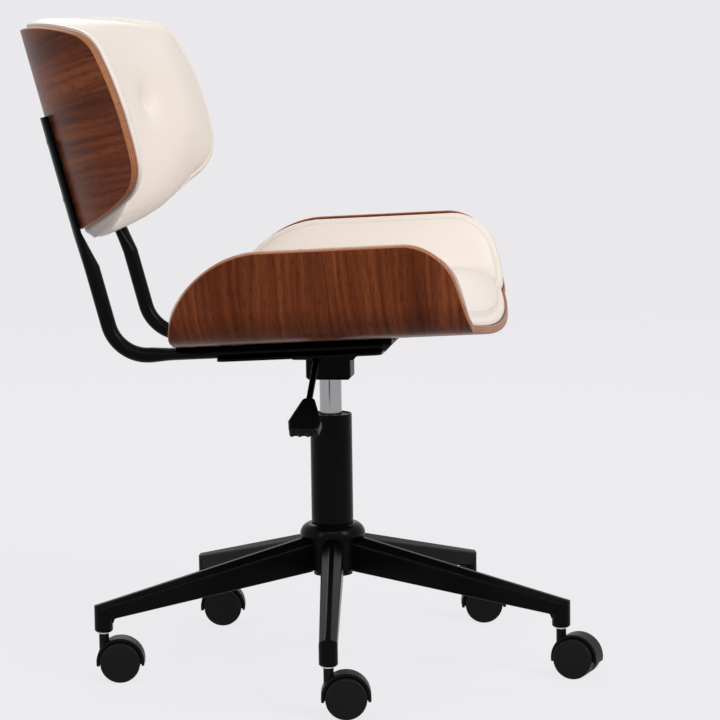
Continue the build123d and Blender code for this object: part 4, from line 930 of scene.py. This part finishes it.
for wire in (
    (stitch_in.outputs["Path"], stitch_curve.inputs["Mesh"]),
    (stitch_curve.outputs["Curve"], stitch_steps.inputs["Curve"]),
    (stitch_in.outputs["Spacing"], stitch_steps.inputs["Length"]),
    (stitch_steps.outputs["Curve"], stitch_place.inputs["Points"]),
    (stitch_bead.outputs["Mesh"], stitch_place.inputs["Instance"]),
    (stitch_tangent.outputs["Tangent"], stitch_turn.inputs["Vector"]),
    (stitch_turn.outputs["Rotation"], stitch_place.inputs["Rotation"]),
    (stitch_in.outputs["Unevenness"], stitch_low.inputs[1]),
    (stitch_low.outputs[0], shortest),
    (stitch_in.outputs["Seed"], stitch_random.inputs["Seed"]),
    (share_of_length, stitch_long.inputs[0]),
    (stitch_in.outputs["Length"], stitch_long.inputs[1]),
    (stitch_long.outputs[0], stitch_size.inputs["X"]),
    (stitch_in.outputs["Thickness"], stitch_size.inputs["Y"]),
    (stitch_in.outputs["Thickness"], stitch_size.inputs["Z"]),
    (stitch_size.outputs[0], stitch_place.inputs["Scale"]),
    (stitch_place.outputs["Instances"], stitch_real.inputs["Geometry"]),
    (stitch_real.outputs["Geometry"], stitch_thread.inputs["Geometry"]),
    (stitch_in.outputs["Thread"], stitch_thread.inputs["Material"]),
    (stitch_thread.outputs["Geometry"], stitch_out.inputs["Stitches"]),
):
    stitch_group.links.new(*wire)


def stitched(name, pad, outline, inset, height, spread, frame_at, along):
    """A row of thread stitches that lies on a pad, just inside its seam."""
    path = inset_outline(outline, inset)
    path = even_points(np.vstack([path, path[:1]]), 601)[:-1]
    aside = spread(path, np.full(len(path), inset))
    cover = BVHTree.FromPolygons([v.co for v in pad.data.vertices], [p.vertices for p in pad.data.polygons])
    over = height(path, np.full(len(path), inset)) + stitch_clearance
    laid = []
    for (run, reach), above, past in zip(path, over, aside):
        spot, inward = frame_at(run)
        hit = cover.ray_cast(spot + along * float(reach + past) + inward * float(above), -inward)[0]
        if hit is not None:
            laid.append(hit + inward * 0.0001)
    mesh = bpy.data.meshes.new(name)
    mesh.from_pydata(laid, [(k, (k + 1) % len(laid)) for k in range(len(laid))], [])
    row = bpy.data.objects.new(name, mesh)
    scene.collection.objects.link(row)
    sewing = row.modifiers.new("stitches", "NODES")
    sewing.node_group = stitch_group
    for label, value in (
        ("Spacing", 0.0044),
        ("Length", 0.0031),
        ("Thickness", 0.0008),
        ("Unevenness", 0.12),
        ("Seed", 7),
        ("Thread", thread),
    ):
        sewing[stitch_inputs[label]] = value
    made = row.evaluated_get(bpy.context.evaluated_depsgraph_get())
    row.data = bpy.data.meshes.new_from_object(made)
    row.modifiers.remove(sewing)
    row.data.polygons.foreach_set("use_smooth", [True] * len(row.data.polygons))
    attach(row, "seat")


thread, thread_nodes, thread_links, thread_shader = blank_material("cream_thread")
thread_place = thread_nodes.new("ShaderNodeTexCoord")
thread_twist = thread_nodes.new("ShaderNodeTexNoise")
thread_twist.inputs["Scale"].default_value = 2600.0
thread_twist.inputs["Detail"].default_value = 2.0
thread_tone = thread_nodes.new("ShaderNodeMix")
thread_tone.data_type = "RGBA"
thread_tone.inputs["A"].default_value = (0.700, 0.610, 0.490, 1.0)
thread_tone.inputs["B"].default_value = (0.800, 0.725, 0.620, 1.0)
thread_relief = thread_nodes.new("ShaderNodeBump")
thread_relief.inputs["Strength"].default_value = 0.3
thread_relief.inputs["Distance"].default_value = 0.0002
thread_shader.inputs["Roughness"].default_value = 0.7
for wire in (
    (thread_place.outputs["Object"], thread_twist.inputs["Vector"]),
    (thread_twist.outputs["Fac"], thread_tone.inputs["Factor"]),
    (thread_tone.outputs["Result"], thread_shader.inputs["Base Color"]),
    (thread_twist.outputs["Fac"], thread_relief.inputs["Height"]),
    (thread_relief.outputs["Normal"], thread_shader.inputs["Normal"]),
):
    thread_links.new(*wire)

seat_outline = flat_outline("seat_shell", seat_frame, seat_along, seat_ply, seat_half_run)
seat_cover = inset_outline(seat_outline, seat_pad_margin)
on_wings = np.clip((np.abs(seat_cover[:, 0]) - floor_run) / bend_run, 0, 1)
seat_cover[:, 1] += seat_overhang * on_wings * np.clip(seat_cover[:, 1] / wing_half_length, -1, 1)
seat_pad = pad_object(
    "seat_pad", seat_cover, seat_lift, no_spread, seat_ply + pad_gap, seat_frame, seat_along,
    columns=130, rows=74,
)
swell(seat_pad)
refined(seat_pad)
sew(seat_pad, seat_cover, seat_seam, lambda flat: np.zeros(len(flat)))
seat_pad.data.materials.clear()
seat_pad.data.materials.append(cream)
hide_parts("seat_cushion")
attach(seat_pad, "seat")
stitched(
    "seat_stitches", seat_pad, seat_cover, seat_seam + stitch_inset,
    lambda flat, gap: seat_ply + pad_gap + seat_lift(flat, gap), no_spread, seat_frame, seat_along,
)

# Back shell: the same walnut-faced ply, bent round the sitter. Its grain runs round the back, and
# the two tubes are bolted to its rear face.
back_ply = 0.009
back_radius = 0.285
back_half_angle = math.radians(50.0)
back_recline = math.radians(14.91)
back_origin = Vector((-0.3155, 0.0, 0.5583))
back_reach = 0.1432
back_forward = Vector((math.cos(back_recline), 0.0, math.sin(back_recline)))
back_up = Vector((-math.sin(back_recline), 0.0, math.cos(back_recline)))
wrap_run = back_radius * back_half_angle
wrap_end = back_radius * (1 - math.cos(back_half_angle)) + back_ply / 2 * math.cos(back_half_angle)
back_half_run = wrap_run + (back_reach - wrap_end) / math.sin(back_half_angle) - 0.0002


def back_frame(run):
    """Place and inward direction on the back's rear face, a run sideways from the middle."""
    side, run = math.copysign(1.0, run), abs(run)
    turn = min(run / back_radius, back_half_angle)
    past = max(0.0, run - wrap_run)
    sideways = back_radius * math.sin(turn) + past * math.cos(turn)
    forward = back_radius * (1 - math.cos(turn)) + past * math.sin(turn)
    spot = back_origin + Vector((0.0, side * sideways, 0.0)) + back_forward * forward
    return spot, Vector((0.0, -side * math.sin(turn), 0.0)) + back_forward * math.cos(turn)


back_wood = ply_shell(
    "back_wood", "back_shell", back_frame, back_up, back_ply, back_half_run, columns=130, rows=60
)
back_wood.data.materials.append(walnut)
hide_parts("back_shell")
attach(back_wood, "seat")

# Back pad: foam under the same cream cloth, standing a little past the shell above and below, with
# a seam round its edge and two sewn tufts that pull a short upright crease each.
back_seam = 0.0065
back_pad_margin = -0.003
back_border = 0.009
back_crown = 0.047
back_wing_crown = 0.037
back_tip_crown = 0.014
back_halfway = 0.12
back_pad_rise = 0.001
back_pad_hang = 0.002
back_rise_bulge = 0.021
back_hang_bulge = 0.032
bulge_width = 0.060
tuft_run = 0.172
tuft_height = 0.134
tuft_depth = 0.0075
crease_depth = 0.0042


def back_lift(flat, gap):
    """Height of the back pad over the shell."""
    run = np.abs(flat[:, 0])
    round_wrap = back_crown - (back_crown - back_wing_crown) * np.clip(run / wrap_run, 0, 1) ** 3
    wing_share = np.clip((run - wrap_run) / (back_half_run - wrap_run), 0, 1)
    on_wing = back_wing_crown - (back_wing_crown - back_tip_crown) * wing_share
    crown = np.where(run < wrap_run, round_wrap, on_wing)
    roll = 0.010 + 0.95 * crown
    border = back_border * quarter_round(gap / back_seam)
    return border + (crown - back_border) * quarter_round((gap - back_seam) / roll)


def back_spread(flat, gap):
    """How far the middle of the back pad bulges up and down past the shell's edges."""
    share = np.clip((flat[:, 0] / wrap_run) ** 2, 0, 1)
    upward = back_rise_bulge * (1 - share) ** 2
    downward = back_hang_bulge * (1 - share**2)
    reach = np.where(flat[:, 1] > back_halfway, upward, -downward)
    return reach * np.sin(np.pi * np.clip(gap / bulge_width, 0, 1) ** 0.7)


def tuft_press(flat):
    """How far the sewn tufts pull the cover in."""
    aside = np.abs(flat[:, 0]) - tuft_run
    above = flat[:, 1] - tuft_height
    hollow = tuft_depth * np.exp(-((aside / 0.019) ** 2 + (above / 0.026) ** 2))
    crease = crease_depth * np.exp(-((aside / 0.0045) ** 2 + (above / 0.015) ** 2))
    return hollow + crease


back_outline = flat_outline("back_shell", back_frame, back_up, back_ply, back_half_run)
back_cover = inset_outline(back_outline, back_pad_margin)
past_edge = np.clip(1 - (back_cover[:, 0] / wrap_run) ** 2, 0, 1)
upper_half = back_cover[:, 1] > back_halfway
back_cover[:, 1] += np.where(upper_half, back_pad_rise, -back_pad_hang) * past_edge
back_pad = pad_object(
    "back_pad", back_cover, back_lift, back_spread, back_ply + pad_gap, back_frame, back_up,
    columns=116, rows=76,
)
swell(back_pad)
refined(back_pad)
sew(back_pad, back_cover, back_seam, tuft_press)
back_pad.data.materials.clear()
back_pad.data.materials.append(cream)
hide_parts("back_cushion")
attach(back_pad, "seat")
stitched(
    "back_stitches", back_pad, back_cover, back_seam + stitch_inset,
    lambda flat, gap: back_ply + pad_gap + back_lift(flat, gap), back_spread, back_frame, back_up,
)
